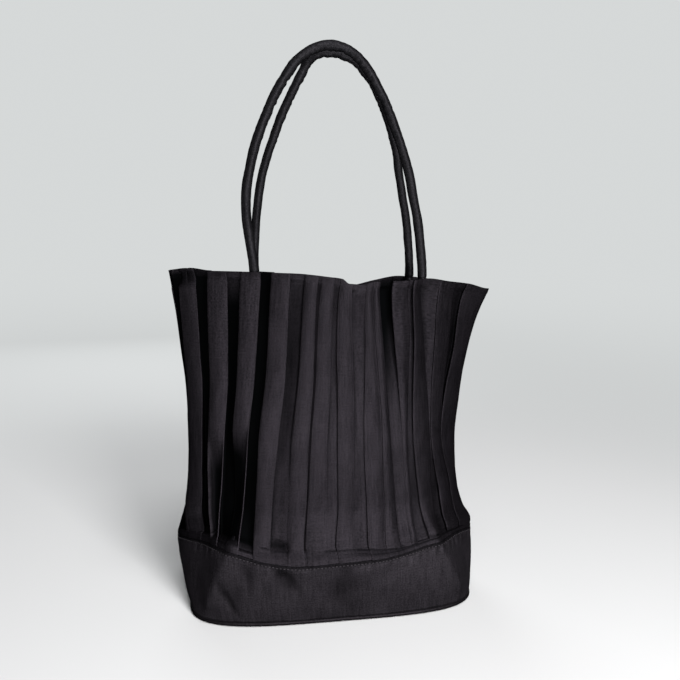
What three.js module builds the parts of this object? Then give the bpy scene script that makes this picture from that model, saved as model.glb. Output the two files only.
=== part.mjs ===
// Pleated bucket bag: a hollow pleated wall over a plain band and a flat oval base, with two stuffed handles.
// Millimetres. X runs along the width, Y from the front to the back, Z up. The base rests on Z = 0.
import * as THREE from "three";

// Cloth and joints
const WALL = 1.4;
const GAP = 0.3;
const PLEAT_CROWN = 0.7;
const RECESS_SLANT = 0.12;
const TIP_SLANT = 1.1;
const END_ROOM_SHARE = 0.3;

// Heights and thicknesses
const SEAM_HEIGHT = 69;
const LEDGE_HEIGHT = 10;
const RIM_HEIGHT = 335;
const PANEL_THICKNESS = 4.4;
const PANEL_ROUNDING = 1.5;
const HANDLE_RADIUS = 4.6;
const HANDLE_FLARE = 0.1;
const HANDLE_FLARE_LENGTH = 12;

// Mesh fineness
const OUTLINE_STEPS = 60;
const PANEL_POINTS = 72;
const HANDLE_STEPS = 44;
const HANDLE_SIDES = 8;

// A run is a place along an outline: 0 at the left end, 100 at the right end along the front,
// and on to 200 at the left end again along the back.
const HALF_RUN = 100;
const FULL_RUN = 200;

function table(columns, rows) {
  return rows.map((row) => Object.fromEntries(columns.map((name, i) => [name, row[i]])));
}

// Outlines of the pleated wall, a row per level. left, right, front and back are the reach from the middle,
// bow and fill round the corners, and the last four columns say how far the level follows the folds' depth,
// the seam's wave, the ledge's height and the rim's wave.
const BODY_LEVELS = table(
  ["height", "left", "right", "front", "back", "bow", "fill", "fold", "seam", "ledge", "rim"],
  [
    [SEAM_HEIGHT, 158, 153, 75, 70, 2.0, 1.8, 0, 1, 0, 0],
    [74, 158, 152.5, 71, 67, 2.05, 1.85, 0.12, 1, 0.5, 0],
    [79, 157.5, 150.5, 66, 63.5, 2.1, 1.9, 0.4, 1, 1, 0],
    [86, 156, 147, 63, 61.5, 2.15, 1.95, 0.85, 0.9, 0.8, 0],
    [98, 153, 141.5, 60.5, 59.5, 2.25, 2.0, 1, 0.65, 0.4, 0],
    [115, 149, 135, 58, 58, 2.3, 2.0, 1, 0.35, 0, 0],
    [142, 146.5, 131.5, 56.5, 56.5, 2.3, 1.95, 1, 0, 0, 0],
    [172, 145.5, 130, 55, 55, 2.3, 1.9, 1, 0, 0, 0],
    [202, 146.8, 132.5, 52, 52, 2.25, 1.7, 1, 0, 0, 0],
    [232, 148.5, 136, 49, 49, 2.2, 1.5, 1, 0, 0, 0],
    [262, 152.2, 141, 45.5, 45.5, 2.15, 1.38, 1, 0, 0, 0.25],
    [292, 155.8, 146.5, 42, 42, 2.1, 1.25, 1, 0, 0, 0.6],
    [316, 159.4, 153.8, 39, 39, 2.05, 1.12, 1, 0, 0, 0.9],
    [327, 161.2, 158.3, 37.8, 37.8, 2.02, 1.05, 1, 0, 0, 1],
    [RIM_HEIGHT, 162.5, 161.5, 37, 37, 2.0, 1.0, 0.3, 0, 0, 1],
  ],
);

// Outlines of the plain band from the base panel up to the seam.
const BAND_LEVELS = table(
  ["height", "left", "right", "front", "back", "bow", "fill", "fold", "seam", "ledge", "rim"],
  [
    [PANEL_THICKNESS + GAP, 147, 151.5, 61.5, 61, 3.6, 3.1, 0, 0, 0, 0],
    [20, 151.5, 152.8, 65.5, 63, 3.1, 2.65, 0, 0.1, 0, 0],
    [37, 155, 153.5, 69.5, 66, 2.65, 2.25, 0, 0.35, 0, 0],
    [54, 157.3, 153.5, 73, 68.5, 2.25, 1.95, 0, 0.7, 0, 0],
    [SEAM_HEIGHT - GAP, 158, 153, 75, 70, 2.0, 1.8, 0, 1, 0, 0],
  ],
);

// Outline of the base panel's edge.
const PANEL_LEVEL = { left: 146.5, right: 151.2, front: 61, back: 60.5, bow: 3.8, fill: 3.2 };

// How far the seam and the rim rise from their own heights, and the ledge's height over the seam.
const EDGE_WAVES = table(
  ["run", "seam", "ledge", "rim"],
  [
    [0, 8, 8, 6],
    [6, 11, 8, 8.5],
    [12, 12.5, 8, 6.5],
    [19, 9, 8, 6.5],
    [26, 2, 8, 6.5],
    [38, -2.5, 12, 5.5],
    [47, -1, 9, 2.5],
    [53.5, 0, 8, -4],
    [60, 0, 6, -1],
    [68, 1.5, 4, -0.5],
    [77, 2, 4, 1.5],
    [84, 6, 4, -1.5],
    [92, 7.5, 4, -4.5],
    [100, 7.5, 6, -10],
    [115, 4, 9, -3],
    [128, 1, 10, 0.5],
    [136, 0, 10, -4.5],
    [144, 0, 10, -10.5],
    [151, 0, 10, -8],
    [160, 0, 10, -2],
    [175, 2, 10, 2],
    [200, 8, 8, 6],
  ],
);

// The front pleats, a row per raised face: where its left and right folds lie along the run at four heights,
// and the depth of the recess on its right at three of them.
const FOLD_HEIGHTS = { low: 100, waist: 180, upper: 278, top: 327 };
const FRONT_PLEATS = table(
  [
    "lowLeft", "lowRight", "waistLeft", "waistRight", "upperLeft", "upperRight", "topLeft", "topRight",
    "lowDepth", "waistDepth", "topDepth",
  ],
  [
    [5.5, 10.1, 2.6, 8.5, 2.6, 7.8, 3.0, 7.2, 9, 9, 7],
    [13.5, 16.7, 11.2, 16.4, 11.2, 16.9, 11.5, 17.1, 9, 10, 7],
    [20.8, 23.9, 19.2, 24.2, 20.8, 26.0, 21.2, 27.2, 9, 9, 9],
    [27.1, 31.8, 27.4, 33.4, 29.7, 34.9, 29.9, 35.0, 5, 5, 5],
    [36.3, 41.6, 37.4, 42.6, 39.2, 43.2, 39.1, 43.2, 2, 2, 2],
    [42.4, 46.8, 43.4, 47.9, 44.2, 48.4, 44.4, 48.1, 2, 5, 4],
    [51.3, 55.6, 51.3, 56.1, 50.4, 54.3, 50.2, 52.8, 2, 4, 5],
    [60.0, 64.4, 60.2, 65.2, 59.4, 63.9, 56.5, 60.7, 2, 3, 8],
    [68.6, 73.6, 68.4, 74.1, 68.2, 73.2, 64.7, 69.9, 3, 4, 3],
    [76.8, 81.2, 76.7, 82.1, 77.9, 82.1, 74.1, 79.6, 4, 3, 2],
    [83.7, 87.1, 83.0, 87.0, 83.0, 89.0, 80.7, 87.0, 4, 4, 4],
    [88.9, 100, 88.6, 100, 91.9, 100, 91.5, 100, 4, 4, 4],
  ],
);

// The back pleats lie at an even pitch with a slight wander.
const BACK_PLEATS = 11;
const BACK_START = 102.5;
const BACK_END = 200;
const BACK_FACE_SHARE = 0.6;
const BACK_WANDER = 0.9;
const BACK_DEPTH = { low: 5, waist: 6, top: 2.5 };

// Soft dents in the band, a row per dent: its place, its half width and half height, and its depth.
const BAND_DENTS = table(
  ["run", "height", "halfWidth", "halfHeight", "depth"],
  [
    [21.5, 30, 3.0, 16, 2.6],
    [26, 54, 2.6, 14, 2.0],
    [36.5, 52, 3.2, 14, 3.2],
    [52.5, 36, 4.0, 26, 2.4],
    [91, 44, 4.5, 24, 3.4],
    [134, 40, 5.0, 22, 2.0],
    [168, 36, 4.5, 24, 2.2],
  ],
);

// Routes of the handles' middles, a row per height, and the apex that joins their two legs.
const HANDLE_FRONT = table(
  ["height", "left", "right"],
  [
    [330, -83.5, 82.5],
    [345, -83.5, 82],
    [363, -85, 80],
    [395, -89.3, 75.5],
    [416, -89.3, 71],
    [437, -86, 66.5],
    [459, -80.8, 59.5],
    [481, -73, 52],
    [503, -63.5, 42],
    [525, -51, 29.5],
    [540, -38, 18],
    [548.5, -24, 5.5],
  ],
);
const HANDLE_BACK = table(
  ["height", "left", "right"],
  [
    [328, -78, 81],
    [345, -78, 81],
    [371, -78.5, 79.5],
    [395, -78, 76],
    [418, -75.5, 71],
    [441, -71, 66.5],
    [464, -64.5, 61.6],
    [487, -57, 54.2],
    [510, -47, 44],
    [531, -36.5, 31.5],
    [546, -25, 15],
  ],
);
const FRONT_APEX = { height: 551.5, x: -9.5 };
const BACK_APEX = { height: 552.5, x: -4.5 };

// How far in front of the middle each handle's legs stand at the mouth, and how they lean in over the rise.
const FRONT_LEG = { left: -21.3, right: -20.9 };
const BACK_LEG = { left: 20, right: 21.2 };
const HANDLE_LEAN = 0.036;

// Reads one column of a table between its rows, easing from row to row.
function readTable(rows, key, place, column) {
  const last = rows.length - 1;
  if (place <= rows[0][key]) return rows[0][column];
  if (place >= rows[last][key]) return rows[last][column];
  const next = rows.findIndex((row) => row[key] > place);
  const [low, high] = [rows[next - 1], rows[next]];
  const share = THREE.MathUtils.smoothstep(place, low[key], high[key]);
  return THREE.MathUtils.lerp(low[column], high[column], share);
}

// One half of a level's outline, from the left end to the right end. side is -1 for the front, 1 for the back.
function halfOutline(level, side) {
  const middle = (level.right - level.left) / 2;
  const reach = (level.right + level.left) / 2;
  const depth = side < 0 ? level.front : level.back;
  const points = [];
  for (let i = 0; i <= OUTLINE_STEPS; i++) {
    const across = Math.sin(Math.PI * (i / OUTLINE_STEPS - 0.5));
    const swell = Math.max(0, 1 - Math.abs(across) ** level.bow) ** (1 / level.fill);
    points.push(new THREE.Vector2(middle + reach * across, side * depth * swell));
  }
  return new THREE.SplineCurve(points);
}

function outlineOf(level) {
  return { front: halfOutline(level, -1), back: halfOutline(level, 1), level };
}

// The place on an outline at a run, with its inward direction and the room to the opposite wall.
function placeOn(outline, run) {
  const around = ((run % FULL_RUN) + FULL_RUN) % FULL_RUN;
  const onFront = around <= HALF_RUN;
  const half = onFront ? outline.front : outline.back;
  const share = (onFront ? around : FULL_RUN - around) / HALF_RUN;
  const point = half.getPointAt(share);
  const along = half.getTangentAt(share).multiplyScalar(onFront ? 1 : -1);
  const { front, back } = outline.level;
  const room = (Math.abs(point.y) / (onFront ? front : back)) * (front + back);
  return { point, inward: new THREE.Vector2(-along.y, along.x), room };
}

// A point at a run, pushed in from the outline. A push is held back where the two walls come close at the ends.
function pushedIn(outline, run, push) {
  const { point, inward, room } = placeOn(outline, run);
  return point.addScaledVector(inward, Math.min(push, END_ROOM_SHARE * room));
}

// The height of a level at a run, following the waves of the seam, the ledge and the rim.
function heightAt(level, run) {
  const around = ((run % FULL_RUN) + FULL_RUN) % FULL_RUN;
  const seam = readTable(EDGE_WAVES, "run", around, "seam");
  const ledge = readTable(EDGE_WAVES, "run", around, "ledge") - LEDGE_HEIGHT;
  const rim = readTable(EDGE_WAVES, "run", around, "rim");
  return level.height + level.seam * seam + level.ledge * ledge + level.rim * rim;
}

function backPleat(index) {
  const pitch = (BACK_END - BACK_START) / (BACK_PLEATS - 1 + BACK_FACE_SHARE);
  const left = BACK_START + index * pitch;
  const freedom = Math.sin((Math.PI * index) / (BACK_PLEATS - 1));
  const pleat = {};
  Object.keys(FOLD_HEIGHTS).forEach((name, order) => {
    const shift = BACK_WANDER * freedom * Math.sin(2.1 * index + 1.3 * order);
    pleat[name + "Left"] = left + shift;
    pleat[name + "Right"] = left + BACK_FACE_SHARE * pitch + shift;
    pleat[name + "Depth"] = BACK_DEPTH[name];
  });
  return pleat;
}

const PLEATS = [...FRONT_PLEATS, ...Array.from({ length: BACK_PLEATS }, (_, i) => backPleat(i))];

// One measure of a pleat at a height, read between the heights at which its table row gives it.
function pleatAt(pleat, measure, height) {
  const rows = Object.entries(FOLD_HEIGHTS)
    .filter(([name]) => pleat[name + measure] !== undefined)
    .map(([name, at]) => ({ height: at, value: pleat[name + measure] }));
  return readTable(rows, "height", height, "value");
}

// The folds around a level in order: for each pleat its raised face, then the recess up to the next pleat.
function foldsAt(level) {
  const folds = [];
  PLEATS.forEach((pleat, i) => {
    const next = PLEATS[(i + 1) % PLEATS.length];
    const turn = i + 1 === PLEATS.length ? FULL_RUN : 0;
    const left = pleatAt(pleat, "Left", level.height);
    const right = pleatAt(pleat, "Right", level.height);
    const nextLeft = pleatAt(next, "Left", level.height) + turn;
    const slant = RECESS_SLANT * (nextLeft - right);
    const rightSlant = right % HALF_RUN === 0 ? TIP_SLANT : slant;
    const depth = level.fold * pleatAt(pleat, "Depth", level.height);
    const crown = level.fold * PLEAT_CROWN;
    folds.push({ run: left, push: 0 });
    folds.push({ run: (left + right) / 2, push: -crown });
    folds.push({ run: right, push: 0 });
    folds.push({ run: right + rightSlant, push: depth });
    folds.push({ run: nextLeft - slant, push: depth });
  });
  return folds;
}

function dentAt(run, height) {
  return BAND_DENTS.reduce((sum, dent) => {
    const across = (run - dent.run) / dent.halfWidth;
    const up = (height - dent.height) / dent.halfHeight;
    return sum + dent.depth * Math.exp(-across * across - up * up);
  }, 0);
}

// Moves a closed ring of flat points inwards by the wall's thickness, keeping each side parallel to itself.
function shrunk(ring) {
  const inward = (a, b) => {
    const along = new THREE.Vector2().subVectors(b, a).normalize();
    return new THREE.Vector2(-along.y, along.x);
  };
  return ring.map((point, i) => {
    const before = inward(ring[(i + ring.length - 1) % ring.length], point);
    const after = inward(point, ring[(i + 1) % ring.length]);
    const mitre = new THREE.Vector2().addVectors(before, after);
    mitre.multiplyScalar(WALL / Math.max(0.4, 1 + before.dot(after)));
    return point.clone().add(mitre);
  });
}

// The outer and inner rings of a cloth wall at one level.
function wallRings(level, folds) {
  const outline = outlineOf(level);
  const outer = folds.map(({ run, push }) => pushedIn(outline, run, push));
  const lift = (ring) => ring.map((p, i) => new THREE.Vector3(p.x, p.y, heightAt(level, folds[i].run)));
  return { outer: lift(outer), inner: lift(shrunk(outer)) };
}

// Skins a row of rings of equally many points. A closed skin joins the last ring to the first, as in a cloth wall;
// an open one gets a flat cap at each end.
function skin(rings, closed) {
  const size = rings[0].length;
  const points = rings.flat();
  const faces = [];
  const spans = closed ? rings.length : rings.length - 1;
  for (let j = 0; j < spans; j++) {
    const here = j * size;
    const there = ((j + 1) % rings.length) * size;
    for (let i = 0; i < size; i++) {
      const k = (i + 1) % size;
      faces.push(here + i, here + k, there + k, here + i, there + k, there + i);
    }
  }
  const cap = (start, flip) => {
    const middle = new THREE.Vector3();
    points.slice(start, start + size).forEach((p) => middle.addScaledVector(p, 1 / size));
    const centre = points.push(middle) - 1;
    for (let i = 0; i < size; i++) {
      const k = (i + 1) % size;
      faces.push(centre, start + (flip ? k : i), start + (flip ? i : k));
    }
  };
  if (!closed) {
    cap(0, true);
    cap((rings.length - 1) * size, false);
  }
  const geometry = new THREE.BufferGeometry().setFromPoints(points);
  geometry.setIndex(faces);
  geometry.computeVertexNormals();
  return geometry;
}

function clothWall(rings) {
  const outer = rings.map((ring) => ring.outer);
  const inner = rings.map((ring) => ring.inner).reverse();
  return skin([...outer, ...inner], true);
}

function pleatedBody() {
  return clothWall(BODY_LEVELS.map((level) => wallRings(level, foldsAt(level))));
}

function baseBand() {
  const runs = foldsAt(BODY_LEVELS[0]).map((fold) => fold.run);
  const rings = BAND_LEVELS.map((level) => {
    const isSeam = level.height === SEAM_HEIGHT - GAP;
    const folds = runs.map((run) => ({ run, push: isSeam ? 0 : dentAt(run % FULL_RUN, level.height) }));
    return wallRings(level, folds);
  });
  return clothWall(rings);
}

function basePanel() {
  const outline = outlineOf(PANEL_LEVEL);
  const edge = [
    { height: 0, inset: PANEL_ROUNDING },
    { height: PANEL_ROUNDING, inset: 0 },
    { height: PANEL_THICKNESS - PANEL_ROUNDING / 2, inset: 0 },
    { height: PANEL_THICKNESS, inset: PANEL_ROUNDING / 3 },
  ];
  const rings = edge.map(({ height, inset }) => {
    const ring = [];
    for (let i = 0; i < PANEL_POINTS; i++) {
      const p = pushedIn(outline, (i * FULL_RUN) / PANEL_POINTS, inset);
      ring.push(new THREE.Vector3(p.x, p.y, height));
    }
    return ring;
  });
  return skin(rings, false);
}

// A stuffed tube up one leg, over the apex and down the other, flaring slightly at both ends.
function handle(route, apex, leg) {
  const lean = (start, height) => start - Math.sign(start) * HANDLE_LEAN * (height - RIM_HEIGHT);
  const up = route.map((row) => new THREE.Vector3(row.left, lean(leg.left, row.height), row.height));
  const down = route.map((row) => new THREE.Vector3(row.right, lean(leg.right, row.height), row.height));
  const top = new THREE.Vector3(apex.x, lean((leg.left + leg.right) / 2, apex.height), apex.height);
  const spine = new THREE.CatmullRomCurve3([...up, top, ...down.reverse()], false, "centripetal");
  const length = spine.getLength();
  const rings = [];
  for (let j = 0; j <= HANDLE_STEPS; j++) {
    const share = j / HANDLE_STEPS;
    const middle = spine.getPointAt(share);
    const along = spine.getTangentAt(share);
    const side = new THREE.Vector3(0, 1, 0).addScaledVector(along, -along.y).normalize();
    const across = new THREE.Vector3().crossVectors(along, side);
    const toEnd = length * Math.min(share, 1 - share);
    const radius = HANDLE_RADIUS * (1 + HANDLE_FLARE * Math.max(0, 1 - toEnd / HANDLE_FLARE_LENGTH));
    const ring = [];
    for (let i = 0; i < HANDLE_SIDES; i++) {
      const angle = (2 * Math.PI * i) / HANDLE_SIDES;
      const point = middle.clone().addScaledVector(side, radius * Math.cos(angle));
      ring.push(point.addScaledVector(across, radius * Math.sin(angle)));
    }
    rings.push(ring);
  }
  return skin(rings, false);
}

const pleatedSatin = new THREE.MeshStandardMaterial({ color: "#262327", roughness: 0.5, metalness: 0 });
const plainSatin = new THREE.MeshStandardMaterial({ color: "#2a272a", roughness: 0.45, metalness: 0 });
const baseSatin = new THREE.MeshStandardMaterial({ color: "#242226", roughness: 0.5, metalness: 0 });
const handleSatin = new THREE.MeshStandardMaterial({ color: "#29262a", roughness: 0.5, metalness: 0 });

const bag = new THREE.Group();
bag.name = "pleated_bucket_bag";

function addPiece(name, geometry, material) {
  const mesh = new THREE.Mesh(geometry, material);
  mesh.name = name;
  bag.add(mesh);
}

addPiece("pleated_body", pleatedBody(), pleatedSatin);
addPiece("base_band", baseBand(), plainSatin);
addPiece("base_panel", basePanel(), baseSatin);
addPiece("handle_front", handle(HANDLE_FRONT, FRONT_APEX, FRONT_LEG), handleSatin);
addPiece("handle_back", handle(HANDLE_BACK, BACK_APEX, BACK_LEG), handleSatin);

export default bag;
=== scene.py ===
"""A pleated satin bucket bag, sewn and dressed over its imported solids.

Lengths in the tables are millimetres in the part's own frame: X along the width, Y from front to back, Z up.
A run is a place around the bag: 0 at the left end, 100 at the right end along the front, and 200 at the left
end again along the back. A push is how far a point lies inside the outline of its level.
"""

import logging
import math
from dataclasses import dataclass
from enum import Enum
from typing import Any

import bpy
import numpy as np
from mathutils import Matrix, Vector


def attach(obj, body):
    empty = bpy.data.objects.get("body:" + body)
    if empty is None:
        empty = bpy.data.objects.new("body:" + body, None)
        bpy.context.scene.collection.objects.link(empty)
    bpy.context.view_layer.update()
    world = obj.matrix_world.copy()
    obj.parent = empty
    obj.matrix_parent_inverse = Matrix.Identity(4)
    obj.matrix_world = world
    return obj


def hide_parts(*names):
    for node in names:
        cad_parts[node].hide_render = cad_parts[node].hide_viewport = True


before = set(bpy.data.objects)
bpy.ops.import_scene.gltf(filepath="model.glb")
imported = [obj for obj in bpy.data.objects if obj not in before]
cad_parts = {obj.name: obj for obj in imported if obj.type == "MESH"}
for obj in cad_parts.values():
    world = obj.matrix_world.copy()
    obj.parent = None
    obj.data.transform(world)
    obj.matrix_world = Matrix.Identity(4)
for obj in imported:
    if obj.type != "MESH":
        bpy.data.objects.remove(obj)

LOG = logging.getLogger("pleated_bag")
BODY = "root"
CLOTH_UV = "cloth"
MM = 0.001
TINY = 1e-9
HALF_RUN = 100.0
FULL_RUN = 200.0
SEAM_HEIGHT = 69.0
RIM_HEIGHT = 335.0
Array = np.ndarray
Levels = dict[str, Array]
Span = tuple[float, float]
Shares = tuple[float, ...]
Colour = tuple[float, float, float]
Place = tuple[float, float, float]


class Slot(Enum):
    """The record's material slots."""

    PLEATED = "pleated_satin"
    PLAIN = "plain_satin"
    BASE = "base_satin"
    HANDLE = "handle_satin"


class Held(Enum):
    """How a sheet of cloth is held."""

    FOLDED = "folded"
    STRETCHED = "stretched"


def curve_read(places: Array, values: Array, slopes: Array, at: Array) -> Array:
    """Reads a smooth curve between the rows that give it.

    Args:
        places: The rows' places, rising.
        values: The curve's values at those places.
        slopes: Its slopes there.
        at: The places to read, held between the first row and the last.

    Returns:
        The values there, in the shape of at.
    """
    held = np.clip(at, places[0], places[-1])
    row = np.clip(np.searchsorted(places, held, side="right") - 1, 0, len(places) - 2)
    step = places[row + 1] - places[row]
    t = (held - places[row]) / step
    low = (1 + 2 * t) * (1 - t) ** 2 * values[row] + t * (1 - t) ** 2 * step * slopes[row]
    high = t**2 * (3 - 2 * t) * values[row + 1] + t**2 * (t - 1) * step * slopes[row + 1]
    return low + high


def smooth_read(places: Array, values: Array, at: Array) -> Array:
    """Reads a column between its rows along a smooth curve that never overshoots a row.

    Args:
        places: The rows' places, rising.
        values: The column's values at those places.
        at: The places to read.

    Returns:
        The values there, in the shape of at.
    """
    slope = np.diff(values) / np.diff(places)
    same = slope[:-1] * slope[1:] > 0
    total = np.where(same, slope[:-1] + slope[1:], 1.0)
    tangent = np.zeros(len(places))
    tangent[1:-1] = np.where(same, 2.0 * slope[:-1] * slope[1:] / total, 0.0)
    tangent[0], tangent[-1] = slope[0], slope[-1]
    return curve_read(places, values, tangent, at)


def ease(low: float, high: float, at: Array) -> Array:
    """A smooth step from 0 at low to 1 at high."""
    t = np.clip((at - low) / (high - low), 0.0, 1.0)
    return t * t * (3 - 2 * t)


def window(rise: Span, fall: Span, at: Array) -> Array:
    """A smooth step up from 0 to 1 over one span, and down again over another."""
    return ease(*rise, at) * (1 - ease(*fall, at))


def bell(at: Array, middle: float, reach: float) -> Array:
    """A smooth bump, 1 high at its middle."""
    return np.exp(-(((at - middle) / reach) ** 2))


@dataclass(frozen=True)
class Strip:
    """A soft bump along the cloth: its size, its middle and its reach."""

    size: float
    middle: float
    reach: float

    def at(self, places: Array) -> Array:
        """The bump's size at places."""
        return self.size * bell(places, self.middle, self.reach)


def lengths(path: Array, power: float = 1.0) -> Array:
    """The sum of the steps along a path up to each of its points, each step raised to a power."""
    return np.concatenate([[0.0], np.cumsum(np.linalg.norm(np.diff(path, axis=0), axis=1) ** power)])


def around_ring(ring: Array) -> Array:
    """The lengths around a closed ring of points, with the whole length last."""
    return lengths(np.concatenate([ring, ring[:1]]))


@dataclass(frozen=True)
class Table:
    """A short table of named columns, read along its first one."""

    columns: tuple[str, ...]
    rows: tuple[tuple[float, ...], ...]

    def column(self, name: str) -> Array:
        """All values of one column."""
        return np.array([row[self.columns.index(name)] for row in self.rows], float)

    def read(self, name: str, at: Array) -> Array:
        """One column read smoothly at places of the first column."""
        return smooth_read(self.column(self.columns[0]), self.column(name), np.asarray(at, float))

    def levels(self, at: Array) -> Levels:
        """All columns read smoothly at places of the first column."""
        return {name: self.read(name, at) for name in self.columns}


# A level is an oval outline at a nominal height: its reach to each side, the bow and fill of its curve, how
# far it follows the folds, and how far the waves of the seam, the ledge and the rim lift it.
LEVEL_COLUMNS = ("height", "left", "right", "front", "back", "bow", "fill", "fold", "seam", "ledge", "rim")

BODY_LEVELS = Table(
    LEVEL_COLUMNS,
    (
        (69, 158, 153, 75, 70, 2.0, 1.8, 0.06, 1, 0, 0),
        (74, 158, 152.5, 72.6, 67.6, 2.05, 1.85, 0.1, 1, 0.5, 0),
        (78.4, 157.5, 150.7, 69.4, 65.3, 2.1, 1.9, 0.14, 1, 0.96, 0),
        (80.4, 157.2, 149.8, 68.0, 64.4, 2.11, 1.91, 0.85, 0.98, 1, 0),
        (84, 156.5, 148, 66.4, 63.2, 2.14, 1.94, 1, 0.93, 0.88, 0),
        (98, 153, 141.5, 61.6, 60.0, 2.25, 2.0, 1, 0.65, 0.4, 0),
        (115, 149, 135, 58, 58, 2.3, 2.0, 1, 0.35, 0, 0),
        (142, 146.5, 131.5, 56.5, 56.5, 2.3, 1.95, 1, 0, 0, 0),
        (172, 145.5, 130, 55, 55, 2.3, 1.9, 1, 0, 0, 0),
        (202, 146.8, 132.5, 52, 52, 2.25, 1.7, 1, 0, 0, 0),
        (232, 148.5, 136, 49, 49, 2.2, 1.5, 1, 0, 0, 0),
        (262, 152.2, 141, 45.5, 45.5, 2.15, 1.38, 1, 0, 0, 0.25),
        (292, 155.8, 146.5, 42, 42, 2.1, 1.25, 1, 0, 0, 0.6),
        (316, 159.4, 153.8, 39, 39, 2.05, 1.12, 1, 0, 0, 0.9),
        (326, 161, 158, 37.9, 37.9, 2.02, 1.06, 0.95, 0, 0, 1),
        (330, 161.7, 159.6, 37.5, 37.5, 2.01, 1.03, 0.4, 0, 0, 1),
        (335, 162.5, 161.5, 37, 37, 2.0, 1.0, 0.22, 0, 0, 1),
    ),
)

BAND_LEVELS = Table(
    LEVEL_COLUMNS,
    (
        (4.7, 147, 149.7, 61.5, 61, 3.6, 3.1, 0, 0, 0, 0),
        (20, 151.5, 152, 65.5, 63, 3.1, 2.65, 0, 0.1, 0, 0),
        (37, 155, 153.5, 69.5, 66, 2.65, 2.25, 0, 0.35, 0, 0),
        (54, 157.3, 153.5, 73, 68.5, 2.25, 1.95, 0, 0.7, 0, 0),
        (68.7, 158, 153, 75, 70, 2.0, 1.8, 0, 1, 0, 0),
    ),
)

PAD_LEVEL = Table(LEVEL_COLUMNS, ((0, 146.5, 149.4, 61, 60.5, 3.8, 3.2, 0, 0, 0, 0),))

# How far the seam and the rim rise around the bag, and how high the ledge over the seam is.
EDGE_WAVES = Table(
    ("run", "seam", "ledge", "rim"),
    (
        (0, -6.7, 8, 6),
        (6, 2.2, 8, 8.5),
        (12, 7.6, 8, 6.5),
        (18, 11, 8, 6.5),
        (21, 11, 8, 6.5),
        (26, 5.5, 8, 6.5),
        (30, 1.1, 9, 6.2),
        (38, -2.5, 12, 5.5),
        (47, -1, 9, 2.6),
        (50.2, -0.5, 8.5, 1.2),
        (52.2, -0.2, 8.2, -3.4),
        (55.5, 0, 7.5, -4),
        (60, 0, 6, -1),
        (68, 3, 4, -0.5),
        (77, 8, 4, 1.5),
        (84, 9.5, 4, -1.5),
        (92, 5, 4, -4.5),
        (100, -1.5, 6, -10),
        (115, 0, 9, -3),
        (128, 1, 10, 0.5),
        (136, 0, 10, -4.5),
        (144, 0, 10, -10.5),
        (151, 0, 10, -8),
        (160, 0, 10, -2),
        (175, 0.5, 10, 2),
        (188, -3.2, 9, 4),
        (200, -6.7, 8, 6),
    ),
)
LEDGE_HEIGHT = 10.0

# Each row is a pleat of the front: the runs of its two folds at five heights, then its shape. Depth is that
# of the recess after it, rise the far side's share of that depth, edge how much its folds are painted lighter
# as wear and highlight, lean how much deeper its right fold lies, and tuck how far the recess reaches under
# it. Open keeps the recess at the mouth, and foot at the seam. A sunk face is hollow up to the height
# sunkFrom, and start moves its hollow to the left fold. Deep recesses and hollows are painted darker as
# shade.
FOLD_HEIGHTS = {"foot": 84.0, "low": 120.0, "waist": 180.0, "upper": 278.0, "top": 327.0}
FOLD_PLACES = Table(
    (
        "footLeft", "footRight", "lowLeft", "lowRight", "waistLeft", "waistRight",
        "upperLeft", "upperRight", "topLeft", "topRight",
    ),
    (
        (6.6, 10.6, 3.6, 8.6, 2.6, 7.5, 2.6, 7.3, 3.1, 7.4),
        (15.0, 17.4, 12.5, 16.0, 11.4, 15.9, 11.6, 16.9, 12.0, 17.2),
        (20.7, 23.7, 19.9, 23.2, 19.2, 23.6, 20.8, 26.0, 21.6, 26.9),
        (27.5, 31.8, 27.1, 31.7, 27.4, 32.8, 29.7, 35.1, 30.2, 35.4),
        (36.2, 40.6, 36.5, 41.6, 37.2, 42.2, 39.4, 43.2, 39.7, 43.3),
        (41.2, 46.5, 42.3, 47.4, 43.0, 47.8, 44.1, 48.3, 44.4, 48.0),
        (49.6, 54.3, 51.3, 55.7, 51.1, 55.9, 50.2, 54.6, 49.8, 53.0),
        (58.4, 62.9, 60.0, 64.9, 59.4, 64.6, 58.8, 61.5, 57.4, 59.4),
        (63.4, 67.4, 65.4, 68.6, 65.1, 67.7, 62.0, 64.1, 59.9, 61.3),
        (70.4, 72.1, 72.4, 74.2, 71.9, 73.5, 68.3, 73.2, 65.4, 70.5),
        (75.7, 78.9, 77.2, 81.8, 76.0, 81.9, 74.7, 78.5, 72.1, 74.9),
        (82.4, 87.9, 85.1, 89.9, 82.9, 86.8, 82.4, 88.4, 81.0, 86.4),
        (88.9, 100, 90.9, 100, 87.8, 100, 92.3, 100, 91.4, 100),
    ),
)
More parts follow.
